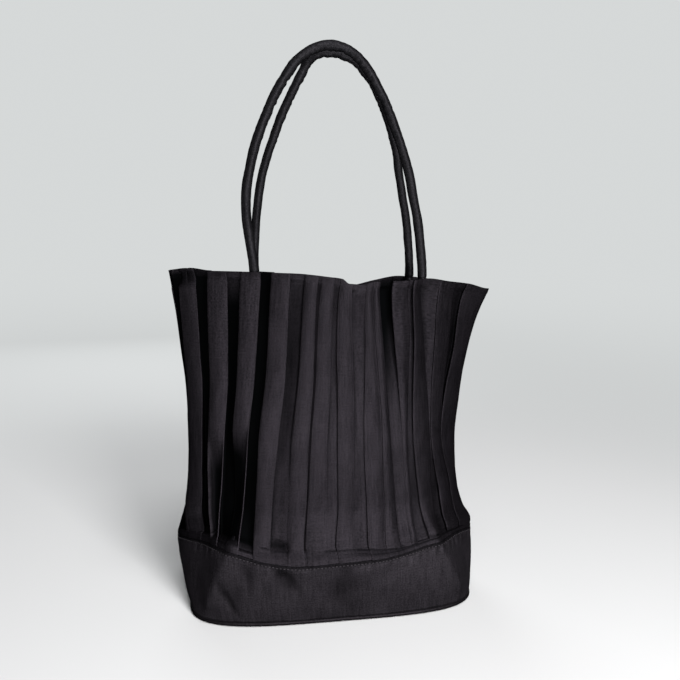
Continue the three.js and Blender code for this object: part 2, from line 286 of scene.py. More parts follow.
FOLD_SHAPES = Table(
    (
        "lowDepth", "waistDepth", "upperDepth", "topDepth", "lowRise", "waistRise", "topRise", "lowEdge",
        "topEdge", "sunk", "sunkFrom", "start", "lowLean", "waistLean", "upperLean", "tuck", "open", "foot",
    ),
    (
        (12, 12, 12, 9, 1, 1, 1, 0.3, 0.1, 0, 0, 0, 6, 4.5, 4.5, 6.5, 0.5, 0),
        (12, 13, 11, 4, 1, 1, 1, 0.9, 0.1, 8.5, 188, 0, 1, 4, 5, 5.0, 0, 1),
        (12, 9, 8, 9, 1, 1, 1, 1.0, 0.1, 9, 204, 0.5, 0, 2.6, 2.6, 4.5, 0.9, 0.8),
        (1.5, 3.6, 6, 3.4, 0.2, 0.5, 0.8, 0.3, 0.1, 0, 0, 0, 1, 1.6, 1.6, 2.0, 0.2, 0),
        (2, 2, 2, 2, 0.2, 0.3, 0.3, 0.2, 0.1, 0, 0, 0, 0, 0, 0, 1.2, 0, 0),
        (0.5, 0.9, 3.6, 3.6, 3.5, 1.8, 0.4, 1.0, 0.7, 0, 0, 0, 0, 0, 0, 1.2, 0.3, 0),
        (0.5, 1.0, 2.6, 3.4, 3.6, 1.2, 0.12, 0.9, 1.3, 0, 0, 0, 0, 0, 0, 1.2, 0.2, 0),
        (0.45, 0.5, 0.4, 0.3, 0.8, 0.8, 0.8, 1.0, 1.2, 0, 0, 0, 0, 0, 0, 0.3, 0, 0),
        (2.2, 2.4, 9, 9.5, 0.1, 0.15, 1, 0.4, 0.6, 0, 0, 0, 0.5, 1, 0, 3.0, 0.7, 0),
        (4, 4.0, 3.4, 3.4, 0.8, 0.7, 0.9, 0.9, 0.4, 0, 0, 0, 0, 0, 1, 2.0, 0.5, 0),
        (4.6, 2.2, 3.0, 2.2, 0.9, 0.6, 0.12, 0.5, 0.3, 0, 0, 0, 0, 0, 4.0, 1.5, 0.2, 0),
        (2, 3.4, 3.6, 3.2, 0.9, 1.6, 1.9, 0.5, 0.9, 0, 0, 0, 0, 0, 2, 0.9, 0.4, 0),
        (4, 4, 4, 4, 1, 1, 1, 0.2, 0.2, 0, 0, 0, 0, -1.5, -2.5, 0, 0, 0),
    ),
)

# Short creases from one place to another, on the ledge over the seam and two across a pleat, each with the
# shade painted into it.
WALL_CREASES = Table(
    ("fromRun", "fromHeight", "toRun", "toHeight", "width", "depth", "shade"),
    (
        (32.4, 86, 32.7, 81.5, 1.5, 1.6, 0.9),
        (32.5, 82.4, 36.0, 80.2, 1.7, 1.8, 0.95),
        (33.1, 86, 35.4, 83.4, 3.4, 2.2, 0.85),
        (29.4, 82.6, 31.4, 81.4, 0.9, 0.5, 0.6),
        (82.9, 191, 89, 175, 1.6, 0.5, 0.3),
        (82.9, 179, 88.9, 188, 1.4, 0.4, 0.25),
        (46, 80.2, 58, 80.6, 0.7, 0.5, 0.5),
        (58, 80.6, 66.7, 78.6, 0.7, 0.6, 0.7),
        (66.7, 78.6, 73, 77.4, 0.6, 0.6, 0.7),
        (73, 77.4, 80.1, 78.6, 0.6, 0.7, 0.8),
        (80.1, 78.6, 88.5, 77, 0.6, 0.7, 0.8),
        (77.8, 82, 85.8, 77.8, 0.8, 0.9, 0.85),
        (85.8, 77.8, 90.2, 78.2, 0.9, 0.9, 0.85),
    ),
)

# The band's two front corners run from the base up to the seam, and the cloth lies flat beside them.
CORNER_FOLDS = Table(
    ("baseRun", "seamRun", "reach", "baseRound", "seamRound", "out"),
    ((12.4, 21.6, 4.8, 0.4, 1.2, 9.5), (87.0, 77.7, 4.2, 0.5, 0.5, 6.0)),
)
END_FLATS = Table(("run", "reach", "depth"), ((11.0, 6.0, 6.5), (90.0, 5.0, 2.5)))
CORNER_FOOT = 0.25
CORNER_GROWS = (4.0, 24.0)

# The left end of the band and the lower wall is drawn back.
TIP_BACK = 24.0
TIP_OUT = 0.09
TIP_SHARPNESS = 9
TIP_GROWS = (4.0, 54.0)
TIP_FADES = (72.0, 104.0)

# Soft dents: their places, half their sizes, how far they lean with the height, and their depths.
BAND_DENTS = Table(
    ("run", "height", "halfWidth", "halfHeight", "lean", "depth"),
    (
        (21.5, 30, 3.0, 16, 0.0, 1.2),
        (26, 54, 2.6, 14, 0.0, 0.8),
        (35.2, 53, 3.2, 16, 0.0, 1.3),
        (51.0, 36, 4.0, 26, 0.0, 0.8),
        (134, 40, 5.0, 22, 0.0, 2.0),
        (168, 36, 4.5, 24, 0.0, 2.2),
        (20.8, 26, 1.0, 13, -0.14, 1.6),
        (26.2, 48, 1.2, 15, -0.03, 1.0),
        (35.3, 57, 1.5, 12, -0.1, 1.9),
        (38.0, 48, 1.1, 14, -0.1, 0.7),
        (50.3, 46, 2.2, 22, 0.03, 0.55),
    ),
)

# Where the handles' two legs lie along the width as they rise.
HANDLE_FRONT = Table(
    ("height", "left", "right"),
    (
        (330, -82.2, 83.6),
        (345, -82.4, 83.2),
        (363, -85, 81.4),
        (395, -89.3, 76.8),
        (416, -89.3, 71.9),
        (437, -86, 67.6),
        (459, -80.8, 60.4),
        (481, -73, 52),
        (503, -63.5, 42),
        (525, -51, 29.5),
        (540, -38, 18),
        (548.5, -24, 5.5),
    ),
)
HANDLE_BACK = Table(
    ("height", "left", "right"),
    (
        (328, -80, 81),
        (345, -80, 81),
        (371, -79.5, 78.6),
        (395, -78, 75.2),
        (418, -75.5, 70.4),
        (441, -71, 65.8),
        (464, -63.7, 61.6),
        (487, -55.6, 54.2),
        (510, -45.2, 44),
        (531, -34.6, 31.5),
        (546, -25, 15),
    ),
)


class Ripples:
    """Smooth seeded unevenness: a sum of plane waves of many directions, about 1 high."""

    def __init__(
        self, seed: int, shortest: float, longest: float, stretch: float = 1.0, waves: int = 14
    ) -> None:
        """Draws the waves.

        Args:
            seed: The seed of the draw.
            shortest: The shortest wavelength.
            longest: The longest wavelength.
            stretch: How many times longer the waves are along the second coordinate.
            waves: How many waves are summed.
        """
        draw = np.random.default_rng(seed)
        length = np.exp(draw.uniform(math.log(shortest), math.log(longest), waves))
        turn = draw.uniform(0, math.pi, waves)
        self.across = math.tau * np.cos(turn) / length
        self.up = math.tau * np.sin(turn) / (length * stretch)
        self.phase = draw.uniform(0, math.tau, waves)
        self.size = math.sqrt(2.0 / waves)

    def at(self, across: Array, up: Array) -> Array:
        """The unevenness at places.

        Args:
            across: Their first coordinate.
            up: Their second coordinate.

        Returns:
            The height of the waves there.
        """
        total = np.zeros(np.broadcast(across, up).shape)
        for a, u, p in zip(self.across, self.up, self.phase):
            total += np.sin(a * across + u * up + p)
        return total * self.size


WALL_SWELLS = Ripples(5, 26, 90, stretch=2.2)
WALL_RIPPLES = Ripples(6, 7, 18, stretch=2.6)
BAND_SWELLS = Ripples(21, 24, 80)
BAND_PUCKERS = Ripples(22, 6, 11, stretch=6.0)
FOOT_PUCKERS = Ripples(23, 8, 16, stretch=6.0)


class Ovals:
    """The closed outlines of a row of levels, read by run."""

    STEPS = 240
    DIRECTION_REACH = 0.45

    def __init__(self, levels: Levels) -> None:
        """Measures both halves of each outline.

        Args:
            levels: The level columns, one value per level.
        """
        tall = {name: values[:, None] for name, values in levels.items()}
        across = np.sin(math.pi * (np.arange(self.STEPS + 1) / self.STEPS - 0.5))[None, :]
        self.middle = (tall["right"] - tall["left"]) / 2
        self.reach = (tall["right"] + tall["left"]) / 2
        room = np.maximum(0.0, 1 - np.abs(across) ** tall["bow"])
        swell = room ** (1 / tall["fill"])
        self.front_reach, self.back_reach = tall["front"], tall["back"]
        self.x = self.middle + self.reach * across
        self.front = -self.front_reach * swell
        self.back = self.back_reach * swell
        self.front_share, front_length = self._shares(self.front)
        self.back_share, _ = self._shares(self.back)
        self.unit = front_length / HALF_RUN
        self.back_step = TIP_BACK * window(TIP_GROWS, TIP_FADES, tall["height"])

    def _shares(self, y: Array) -> tuple[Array, Array]:
        """Measures one half of each outline.

        Args:
            y: The half's depths.

        Returns:
            The share of the half's length at each of its points, and that length.
        """
        step = np.hypot(np.diff(self.x, axis=1), np.diff(y, axis=1))
        along = np.concatenate([np.zeros((len(y), 1)), np.cumsum(step, axis=1)], axis=1)
        return along / along[:, -1:], along[:, -1]

    def place(self, runs: Array) -> Array:
        """The points at runs.

        Args:
            runs: One row of runs per level.

        Returns:
            Their x and y, in an array with one more axis.
        """
        around = np.mod(runs, FULL_RUN)
        on_front = around <= HALF_RUN
        share = np.where(on_front, around, FULL_RUN - around) / HALF_RUN
        out = np.empty(runs.shape + (2,))
        for j in range(len(runs)):
            front = [np.interp(share[j], self.front_share[j], line[j]) for line in (self.x, self.front)]
            back = [np.interp(share[j], self.back_share[j], line[j]) for line in (self.x, self.back)]
            out[j] = np.where(on_front[j], front, back).T
        return out

    def settled(self, points: Array) -> Array:
        """Draws the low left end back.

        Args:
            points: The x and y of points of the outlines.

        Returns:
            The drawn points.
        """
        to_left = np.clip((self.middle - points[..., 0]) / self.reach, 0.0, 1.0)
        step = self.back_step * to_left**TIP_SHARPNESS
        return np.stack([points[..., 0] - TIP_OUT * step, points[..., 1] + step], axis=2)

    def pushed(self, runs: Array, push: Array, share: float) -> Array:
        """Points pushed inwards from their outline, held back where the two walls come close.

        Args:
            runs: One row of runs per level.
            push: How far each point is pushed.
            share: The most of the room to the opposite wall that a push takes.

        Returns:
            The x and y of the points.
        """
        reach = self.DIRECTION_REACH
        along = self.settled(self.place(runs + reach)) - self.settled(self.place(runs - reach))
        along /= np.maximum(np.linalg.norm(along, axis=2, keepdims=True), TINY)
        inward = np.stack([-along[..., 1], along[..., 0]], axis=2)
        point = self.place(runs)
        half = np.where(point[..., 1] <= 0, self.front_reach, self.back_reach)
        room = np.abs(point[..., 1]) / half * (self.front_reach + self.back_reach)
        return self.settled(point) + inward * np.minimum(push, share * room)[..., None]


def corner_push(runs: Array, heights: Array) -> Array:
    """How far the lower cloth is pushed out at its two front corners and in at its ends.

    Args:
        runs: The points' runs.
        heights: Their nominal heights.

    Returns:
        The pushes, inwards where positive.
    """
    around = np.mod(runs, FULL_RUN)
    rise = np.clip(heights / SEAM_HEIGHT, 0.0, 1.0)
    total = np.zeros(around.shape)
    for base, seam, reach, base_round, seam_round, out in CORNER_FOLDS.rows:
        rounding = base_round + (seam_round - base_round) * rise
        away = np.sqrt((around - base - (seam - base) * rise) ** 2 + rounding**2)
        total -= out * np.exp(-away / reach)
    for place, reach, depth in END_FLATS.rows:
        total += depth * bell(around, place, reach)
    return total * (CORNER_FOOT + (1 - CORNER_FOOT) * ease(*CORNER_GROWS, heights))


def creased(runs: Array, heights: Array, unit: Array) -> tuple[Array, Array]:
    """The creases pressed into the wall.

    Args:
        runs: The points' runs.
        heights: Their nominal heights.
        unit: Millimetres in one unit of run.

    Returns:
        How far the creases push the points inwards, and how much shade is painted into them.
    """
    push, shade = np.zeros(runs.shape), np.zeros(runs.shape)
    for run, height, to_run, to_height, width, depth, dark in WALL_CREASES.rows:
        across, up = (runs - run) * unit, heights - height
        reach, rise = (to_run - run) * unit, to_height - height
        along = np.clip((across * reach + up * rise) / (reach**2 + rise**2), 0.0, 1.0)
        groove = bell(np.hypot(across - reach * along, up - rise * along), 0.0, width)
        push = np.maximum(push, depth * groove)
        shade = np.maximum(shade, dark * groove)
    return push, shade


def lifted(levels: Levels, runs: Array) -> Array:
    """The heights of points, following the waves of the seam, the ledge and the rim.

    Args:
        levels: The level columns, one value per row of points.
        runs: The runs of the points, one row per level.

    Returns:
        Their heights.
    """
    around = np.mod(runs, FULL_RUN)
    heights = levels["height"][:, None]
    for edge, usual in (("seam", 0.0), ("ledge", LEDGE_HEIGHT), ("rim", 0.0)):
        heights = heights + levels[edge][:, None] * (EDGE_WAVES.read(edge, around) - usual)
    return heights


def show(name: str, mesh: bpy.types.Mesh) -> bpy.types.Object:
    """Puts a mesh into the scene.

    Args:
        name: The new object's name.
        mesh: Its mesh.

    Returns:
        The object, at the origin.
    """
    piece = bpy.data.objects.new(name, mesh)
    bpy.context.scene.collection.objects.link(piece)
    return piece


def unrolled(up: Array, across: Array) -> Array:
    """The cloth coordinates of a net with its rows at up and its columns, and one more, at across."""
    return np.stack(np.meshgrid(across, up), axis=2)


@dataclass
class Grid:
    """A rectangular net of points with cloth coordinates and named measures, ready to become a mesh.

    The net closes around its columns. Its last row joins its first one where it wraps up, as on a cloth with
    two faces, and otherwise one face closes each end, as on a tube.
    """

    points: Array
    cloth: Array
    measures: dict[str, Array]
    wraps_up: bool = False

    def mesh(self, name: str) -> bpy.types.Object:
        """Makes a shown object of the net.

        Args:
            name: The object's name.

        Returns:
            The object, at the origin.
        """
        rows, columns = self.points.shape[:2]
        spans = rows if self.wraps_up else rows - 1
        index = np.arange(rows * columns).reshape(rows, columns)
        low, top = index[:spans], np.roll(index, -1, axis=0)[:spans]
        right_low, right_top = np.roll(low, -1, axis=1), np.roll(top, -1, axis=1)
        quads = np.stack([low, right_low, right_top, top], axis=2).reshape(-1, 4)
        ends = [] if self.wraps_up else [index[0, ::-1].tolist(), index[-1].tolist()]
        low, top = self.cloth[:spans], np.roll(self.cloth, -1, axis=0)[:spans]
        corners = np.stack([low[:, :-1], low[:, 1:], top[:, 1:], top[:, :-1]], axis=2) * MM
        mesh = bpy.data.meshes.new(name)
        mesh.from_pydata((self.points.reshape(-1, 3) * MM).tolist(), [], quads.tolist() + ends)
        uv = np.concatenate([corners.reshape(-1), np.zeros(2 * columns * len(ends))])
        mesh.uv_layers.new(name=CLOTH_UV).data.foreach_set("uv", uv)
        for measure, values in self.measures.items():
            mesh.attributes.new(measure, "FLOAT", "POINT").data.foreach_set("value", values.reshape(-1))
        mesh.polygons.foreach_set("use_smooth", np.arange(len(mesh.polygons)) < len(quads))
        mesh.update()
        return show(name, mesh)


class Signal:
    """A value in a shader. Arithmetic on it adds Math nodes."""

    def __init__(self, shader: "Shader", socket: bpy.types.NodeSocket) -> None:
        """Wraps an output socket of the shader's tree."""
        self.shader = shader
        self.socket = socket

    def math(self, operation: str, *others: Any) -> "Signal":
        """This value put through a Math node with the others."""
        return self.shader.math(operation, self, *others)

    def __add__(self, other: Any) -> "Signal":
        """The sum."""
        return self.math("ADD", other)

    __radd__ = __add__

    def __mul__(self, other: Any) -> "Signal":
        """The product."""
        return self.math("MULTIPLY", other)

    __rmul__ = __mul__

    def __sub__(self, other: Any) -> "Signal":
        """The difference."""
        return self.math("SUBTRACT", other)

    def __rsub__(self, other: Any) -> "Signal":
        """A number less this value."""
        return self.shader.math("SUBTRACT", other, self)

    def __rtruediv__(self, other: Any) -> "Signal":
        """A number over this value."""
        return self.shader.math("DIVIDE", other, self)

    def wave(self) -> "Signal":
        """A sine of this value between 0 and 1."""
        return self.math("SINE") * 0.5 + 0.5

    def clear(self, low: float, high: float) -> "Signal":
        """A smooth step of this value from 0 at low to 1 at high."""
        sockets = {"Value": self, "From Min": low, "From Max": high}
        return self.shader.add("ShaderNodeMapRange", {"interpolation_type": "SMOOTHSTEP"}, sockets)


class Shader:
    """The node tree of one material."""

    MATH_INPUTS = ("Value", "Value_001", "Value_002")
    NOISE_ROUGHNESS = 0.55

    def __init__(self, name: str) -> None:
        """Starts a material with a Principled shader.

        Args:
            name: The material's name.
        """
        self.material = bpy.data.materials.new(name)
        self.material.use_nodes = True
        self.nodes = self.material.node_tree.nodes
        self.links = self.material.node_tree.links
        self.surface = self.nodes["Principled BSDF"]

    def add(self, kind: str, settings: dict[str, Any], sockets: dict[str, Any], out: str = "") -> Signal:
        """Adds a node.

        Args:
            kind: The node's type.
            settings: Its properties, set before its sockets.
            sockets: Values or signals for its inputs, by identifier or name.
            out: The output's identifier or name, the first one if left out.

        Returns:
            That output.
        """
        node = self.nodes.new(kind)
        for key, value in settings.items():
            setattr(node, key, value)
        for key, value in sockets.items():
            self.feed(self.pick(node.inputs, key), value)
        return Signal(self, self.pick(node.outputs, out) if out else node.outputs[0])

    @staticmethod
    def pick(sockets: Any, key: str) -> bpy.types.NodeSocket:
        """A socket by its identifier, or else by its name."""
        return next((socket for socket in sockets if socket.identifier == key), None) or sockets[key]

    def feed(self, socket: bpy.types.NodeSocket, value: Any) -> None:
        """Links a signal to an input, or sets the input's value.

        Args:
            socket: The input.
            value: The signal, number, vector or colour.
        """
        if isinstance(value, Signal):
            self.links.new(value.socket, socket)
        elif isinstance(value, tuple) and socket.type == "RGBA":
            socket.default_value = (*value, 1.0)
        else:
            socket.default_value = value

    def math(self, operation: str, *values: Any) -> Signal:
        """A Math node of values and numbers."""
        return self.add("ShaderNodeMath", {"operation": operation}, dict(zip(self.MATH_INPUTS, values)))

    def blend(self, share: Any, low: Any, high: Any) -> Signal:
        """A colour between two colours."""
        sockets = {"Factor_Float": share, "A_Color": low, "B_Color": high}
        return self.add("ShaderNodeMix", {"data_type": "RGBA"}, sockets, "Result_Color")

    def scaled(self, vector: Signal, factors: Place) -> Signal:
        """A vector times a number along each axis."""
        sockets = {"Vector": vector, "Vector_001": factors}
        return self.add("ShaderNodeVectorMath", {"operation": "MULTIPLY"}, sockets)

    def axis(self, vector: Signal, name: str) -> Signal:
        """One axis of a vector."""
        return self.add("ShaderNodeSeparateXYZ", {}, {"Vector": vector}, name)

    def noise(self, vector: Signal, scale: float, detail: float) -> Signal:
        """Soft noise between 0 and 1."""
        sockets = {"Vector": vector, "Scale": scale, "Detail": detail, "Roughness": self.NOISE_ROUGHNESS}
        return self.add("ShaderNodeTexNoise", {}, sockets)

    def mixed(self, shares: Shares, *signals: Signal) -> Signal:
        """The sum of signals, each times its share."""
        parts = [signal * share for signal, share in zip(signals, shares)]
        return sum(parts[1:], parts[0])

    def relief(self, height: Signal, strength: float, distance: float) -> None:
        """Raises the surface's normal by a height."""
        sockets = {"Strength": strength, "Distance": distance, "Height": height}
        self.surface_feed(Normal=self.add("ShaderNodeBump", {}, sockets))

    def surface_feed(self, **values: Any) -> None:
        """Sets or links inputs of the Principled shader; underscores stand for spaces."""
        for key, value in values.items():
            self.feed(self.surface.inputs[key.replace("_", " ")], value)


@dataclass(frozen=True)
class Satin:
    """A satin cloth: fine floats across the weave, slubs along it, pressed edges and soft gloss.

    The pitches of warp and weft and the depth of the relief are millimetres. Slub, cross, patch and grain are
    each the scale and the detail of a noise. The shares weigh what is summed: patch, slub, cross and grain
    for the tone, the tone and the wear with painted highlight for the light colour, patch, slub, that wear
    and the painted shade for the roughness, and floats, threads, slub and cross for the height. The colour is
    painted darker towards the shade colour where the piece's measure of painted shade is high, and painted
    lighter, edge times the light colour, as wear and highlight where its crest measure is high.
    """

    name: str
    painted_shade: Colour
    lit: Colour
    roughness: float = 0.5
    silk: float = 0.75
    edge: float = 1.9
    warp: float = 0.42
    weft: float = 0.55
    twill: float = 0.4
    slub: Span = (620.0, 3.0)
    slub_stretch: Place = (1.0, 0.06, 1.0)
    cross: Span = (900.0, 2.0)
    cross_stretch: Place = (0.05, 1.0, 1.0)
    patch: Span = (34.0, 4.0)
    grain: Span = (720.0, 2.0)
    tone_shares: Shares = (0.14, 0.28, 0.13, 0.45)
    tone_from: Span = (0.3, 0.7)
    wear_highlight_patch: float = 0.55
    wear_highlight_from: Span = (0.25, 1.0)
    wear_highlight_share: float = 0.7
    lit_shares: Shares = (0.7, 0.3)
    least_lit: float = 0.15
    rough_shares: Shares = (0.1, 0.08, -0.05, 0.1)
    height_shares: Shares = (0.45, 0.25, 0.5, 0.3)
    relief: float = 0.35
    relief_depth: float = 0.05
    tint: Colour = (0.03, 0.03, 0.03)

    def material(self) -> bpy.types.Material:
        """Makes the material.

        Returns:
            It, reading the cloth coordinates and its piece's measures of painted highlight (crest) and
            painted shade.
        """
        shader = Shader(self.name)
        cloth = shader.add("ShaderNodeUVMap", {"uv_map": CLOTH_UV}, {})
        across, up = shader.axis(cloth, "X"), shader.axis(cloth, "Y")
        crest = shader.add("ShaderNodeAttribute", {"attribute_name": "crest"}, {}, "Fac")
        painted_shade = shader.add("ShaderNodeAttribute", {"attribute_name": "painted_shade"}, {}, "Fac")
        slub = shader.noise(shader.scaled(cloth, self.slub_stretch), *self.slub)
        cross = shader.noise(shader.scaled(cloth, self.cross_stretch), *self.cross)
        patch = shader.noise(cloth, *self.patch)
        grain = shader.noise(cloth, *self.grain)
        pick = math.tau / (self.weft * MM)
        floats = (up * pick + across * (pick * self.twill)).wave()
        threads = (across * (math.tau / (self.warp * MM))).wave()
        tone = shader.mixed(self.tone_shares, patch, slub, cross, grain).clear(*self.tone_from)
        # Crests are painted lighter: partly wear, partly a painted highlight where the folds catch the light.
        wear_and_highlight = (crest * (1 - self.wear_highlight_patch + self.wear_highlight_patch * patch)).clear(*self.wear_highlight_from)
        # Painted shade: the colour darkens towards the shade colour in recesses, creases and dents.
        share = (shader.mixed(self.lit_shares, tone, wear_and_highlight) + self.least_lit) * (1.0 - painted_shade)
        edge = tuple(self.edge * c for c in self.lit)
        rough = shader.mixed(self.rough_shares, patch - 0.5, slub - 0.5, wear_and_highlight, painted_shade)
        shader.surface_feed(
            Base_Color=shader.blend(wear_and_highlight * self.wear_highlight_share, shader.blend(share, self.painted_shade, self.lit), edge),
            Roughness=self.roughness + rough,
            Metallic=self.silk,
            Specular_IOR_Level=0.0,
            Specular_Tint=self.tint,
        )
        height = shader.mixed(self.height_shares, floats, threads, slub, cross)
        shader.relief(height, self.relief, self.relief_depth * MM)
        return shader.material


@dataclass(frozen=True)
class Thread:
    """A twisted sewing thread: twist and relief in millimetres, and fuzz as a noise's scale and detail."""

    name: str
    colour: Colour
    dark: float = 0.5
    roughness: float = 0.42
    gloss: float = 0.03
    twist: float = 0.5
    slant: float = 1.3
    fuzz: Span = (900.0, 2.0)
    fuzz_rough: float = 0.12
    lit_shares: Shares = (0.6, 0.4)
    relief: float = 0.5
    relief_depth: float = 0.05

    def material(self) -> bpy.types.Material:
        """Makes the material.

        Returns:
            It, with a fine twist along the object's own axes.
        """
        shader = Shader(self.name)
        place = shader.add("ShaderNodeTexCoord", {}, {}, "Object")
        along = shader.axis(place, "X") + shader.axis(place, "Z") * self.slant
        twist = (along * (math.tau / (self.twist * MM))).wave()
        fuzz = shader.noise(place, *self.fuzz)
        darker = tuple(self.dark * c for c in self.colour)
        shader.surface_feed(
            Base_Color=shader.blend(shader.mixed(self.lit_shares, twist, fuzz), darker, self.colour),
            Roughness=self.roughness + self.fuzz_rough * (fuzz - 0.5),
            Specular_IOR_Level=self.gloss,
        )
        shader.relief(twist, self.relief, self.relief_depth * MM)
        return shader.material


@dataclass(frozen=True)
class Plaster:
    """The pale plain finish of the floor, which fades into the room's own tone far away."""

    name: str
    colour: Colour
    far: Colour
    shade: float = 0.97
    cloud: Span = (2.2, 3.0)
    near_edge: float = 0.5
    far_edge: float = 6.0
    roughness: float = 0.9
    cloud_rough: float = 0.08

    def material(self) -> bpy.types.Material:
        """Makes the material, with faint unevenness.

        Returns:
            It, reading the floor's own coordinates.
        """
        shader = Shader(self.name)
        place = shader.add("ShaderNodeTexCoord", {}, {}, "Object")
        cloud = shader.noise(place, *self.cloud)
        distance = shader.add("ShaderNodeVectorMath", {"operation": "LENGTH"}, {"Vector": place}, "Value")
        away = 1.0 - (1.0 / distance).clear(1.0 / self.far_edge, 1.0 / self.near_edge)
        near = shader.blend(cloud, tuple(self.shade * c for c in self.colour), self.colour)
        black = (0.0, 0.0, 0.0)
        shader.surface_feed(
            Base_Color=shader.blend(away, near, black),
            Emission_Color=shader.blend(away, black, self.far),
            Emission_Strength=1.0,
            Roughness=self.roughness + self.cloud_rough * (cloud - 0.5),
            Specular_IOR_Level=0.0,
        )
        return shader.material


ROOM_TONE = (0.67, 0.69, 0.69)
CLOTH_SHADOW = (0.0008, 0.0009, 0.0010)
BODY_SATIN = Satin("bag_pleated_satin", painted_shade=CLOTH_SHADOW, lit=(0.0154, 0.0137, 0.0165))
# The band's cloth is painted about twice as light as the pleats' to stand in for light that its slightly
# downward-facing front lacks.
BAND_SATIN = Satin("bag_plain_satin", painted_shade=CLOTH_SHADOW, lit=(0.0335, 0.0303, 0.0355))
BASE_SATIN = Satin("bag_base_satin", painted_shade=CLOTH_SHADOW, lit=(0.0150, 0.0134, 0.0154))
HANDLE_SATIN = Satin("bag_handle_satin", painted_shade=(0.0010, 0.0012, 0.0016), lit=(0.0190, 0.0184, 0.0204))
SEAM_THREAD = Thread("bag_seam_thread", (0.034, 0.031, 0.035))
FLOOR_PLASTER = Plaster("studio_plaster", (0.54, 0.55, 0.55), ROOM_TONE)


def dress(piece: bpy.types.Object, finish: bpy.types.Material, slot: Slot) -> None:
    """Gives a piece its finish and the body that it rides on.

    Args:
        piece: The piece.
        finish: Its material.
        slot: The record's slot that the material stands for; not used.
    """
    piece.data.materials.clear()
    piece.data.materials.append(finish)
    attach(piece, BODY)
    LOG.info("%s: %d faces", piece.name, len(piece.data.polygons))


class StitchTree:
    """A node tree that sews stitches along a path with an outward direction at each point."""

    INPUTS = {
        "Path": "NodeSocketGeometry",
        "Pitch": "NodeSocketFloat",
        "Stitch length": "NodeSocketFloat",
        "Thread radius": "NodeSocketFloat",
        "Lift": "NodeSocketFloat",
        "Slant": "NodeSocketFloat",
        "Seed": "NodeSocketInt",
        "Thread": "NodeSocketMaterial",
    }
    BEAD = {"Segments": 8, "Rings": 6, "Radius": 1.0}

    def __init__(self) -> None:
        """Builds the tree."""
        self.tree = bpy.data.node_groups.new("sewn_stitches", "GeometryNodeTree")
        face = self.tree.interface
        self.names = {}
        for name, kind in self.INPUTS.items():
            self.names[name] = face.new_socket(name, in_out="INPUT", socket_type=kind).identifier
        face.new_socket("Stitches", in_out="OUTPUT", socket_type="NodeSocketGeometry")
        self._wire()

    def _node(self, kind: str, settings: dict[str, Any], sockets: dict[Any, Any]) -> bpy.types.Node:
        """Adds a node.

        Args:
            kind: The node's type.
            settings: Its properties, set before its sockets.
            sockets: Values or linked outputs for its inputs, by name or number.

        Returns:
            The node.
        """
        node = self.tree.nodes.new(kind)
        for key, value in settings.items():
            setattr(node, key, value)
        for key, value in sockets.items():
            if isinstance(value, bpy.types.NodeSocket):
                self.tree.links.new(value, node.inputs[key])
            else:
                node.inputs[key].default_value = value
        return node

    def _wire(self) -> None:
        """Lays the nodes from the path to the finished stitches."""
        given = self._node("NodeGroupInput", {}, {}).outputs
        curve = self._node("GeometryNodeMeshToCurve", {}, {"Mesh": given["Path"]})
        spaced = {"Curve": curve.outputs["Curve"], "Length": given["Pitch"]}
        evenly = self._node("GeometryNodeResampleCurve", {"mode": "LENGTH"}, spaced)
        vector = {"data_type": "FLOAT_VECTOR"}
        out = self._node("GeometryNodeInputNamedAttribute", vector, {"Name": "outward"}).outputs["Attribute"]
        lift = {"Vector": out, "Scale": given["Lift"]}
        rise = self._node("ShaderNodeVectorMath", {"operation": "SCALE"}, lift)
        raised = {"Geometry": evenly.outputs["Curve"], "Offset": rise.outputs["Vector"]}
        path = self._node("GeometryNodeSetPosition", {}, raised)
        along = self._node("GeometryNodeInputTangent", {}, {}).outputs["Tangent"]
        first = self._node("FunctionNodeAlignRotationToVector", {"axis": "X"}, {"Vector": along})
        turned = {"Rotation": first.outputs["Rotation"], "Vector": out}
        facing = self._node("FunctionNodeAlignRotationToVector", {"axis": "Z", "pivot_axis": "X"}, turned)
        least = self._node("ShaderNodeMath", {"operation": "MULTIPLY"}, {0: given["Slant"], 1: -1.0})
        chance = self._node("FunctionNodeRandomValue", {"data_type": "FLOAT"}, {"Seed": given["Seed"]})
        for key, value in (("Min", least.outputs[0]), ("Max", given["Slant"])):
            socket = next(s for s in chance.inputs if s.name == key and s.type == "VALUE")
            self.tree.links.new(value, socket)
        slant = next(s for s in chance.outputs if s.type == "VALUE")
        skew = self._node("ShaderNodeCombineXYZ", {}, {"Z": slant})
        euler = self._node("FunctionNodeEulerToRotation", {}, {"Euler": skew.outputs["Vector"]})
        both = {"Rotation": facing.outputs["Rotation"], "Rotate By": euler.outputs["Rotation"]}
        final = self._node("FunctionNodeRotateRotation", {"rotation_space": "LOCAL"}, both)
        half = self._node("ShaderNodeMath", {"operation": "MULTIPLY"}, {0: given["Stitch length"], 1: 0.5})
        radius = given["Thread radius"]
        size = self._node("ShaderNodeCombineXYZ", {}, {"X": half.outputs[0], "Y": radius, "Z": radius})
        bead = self._node("GeometryNodeMeshUVSphere", {}, self.BEAD)
        placed = {
            "Points": path.outputs["Geometry"],
            "Instance": bead.outputs["Mesh"],
            "Rotation": final.outputs["Rotation"],
            "Scale": size.outputs["Vector"],
        }
        sewn = self._node("GeometryNodeInstanceOnPoints", {}, placed)
        real = self._node("GeometryNodeRealizeInstances", {}, {"Geometry": sewn.outputs["Instances"]})
        soft = self._node("GeometryNodeSetShadeSmooth", {}, {"Geometry": real.outputs["Geometry"]})
        painted = {"Geometry": soft.outputs["Geometry"], "Material": given["Thread"]}
        done = self._node("GeometryNodeSetMaterial", {}, painted)
        self._node("NodeGroupOutput", {}, {"Stitches": done.outputs["Geometry"]})


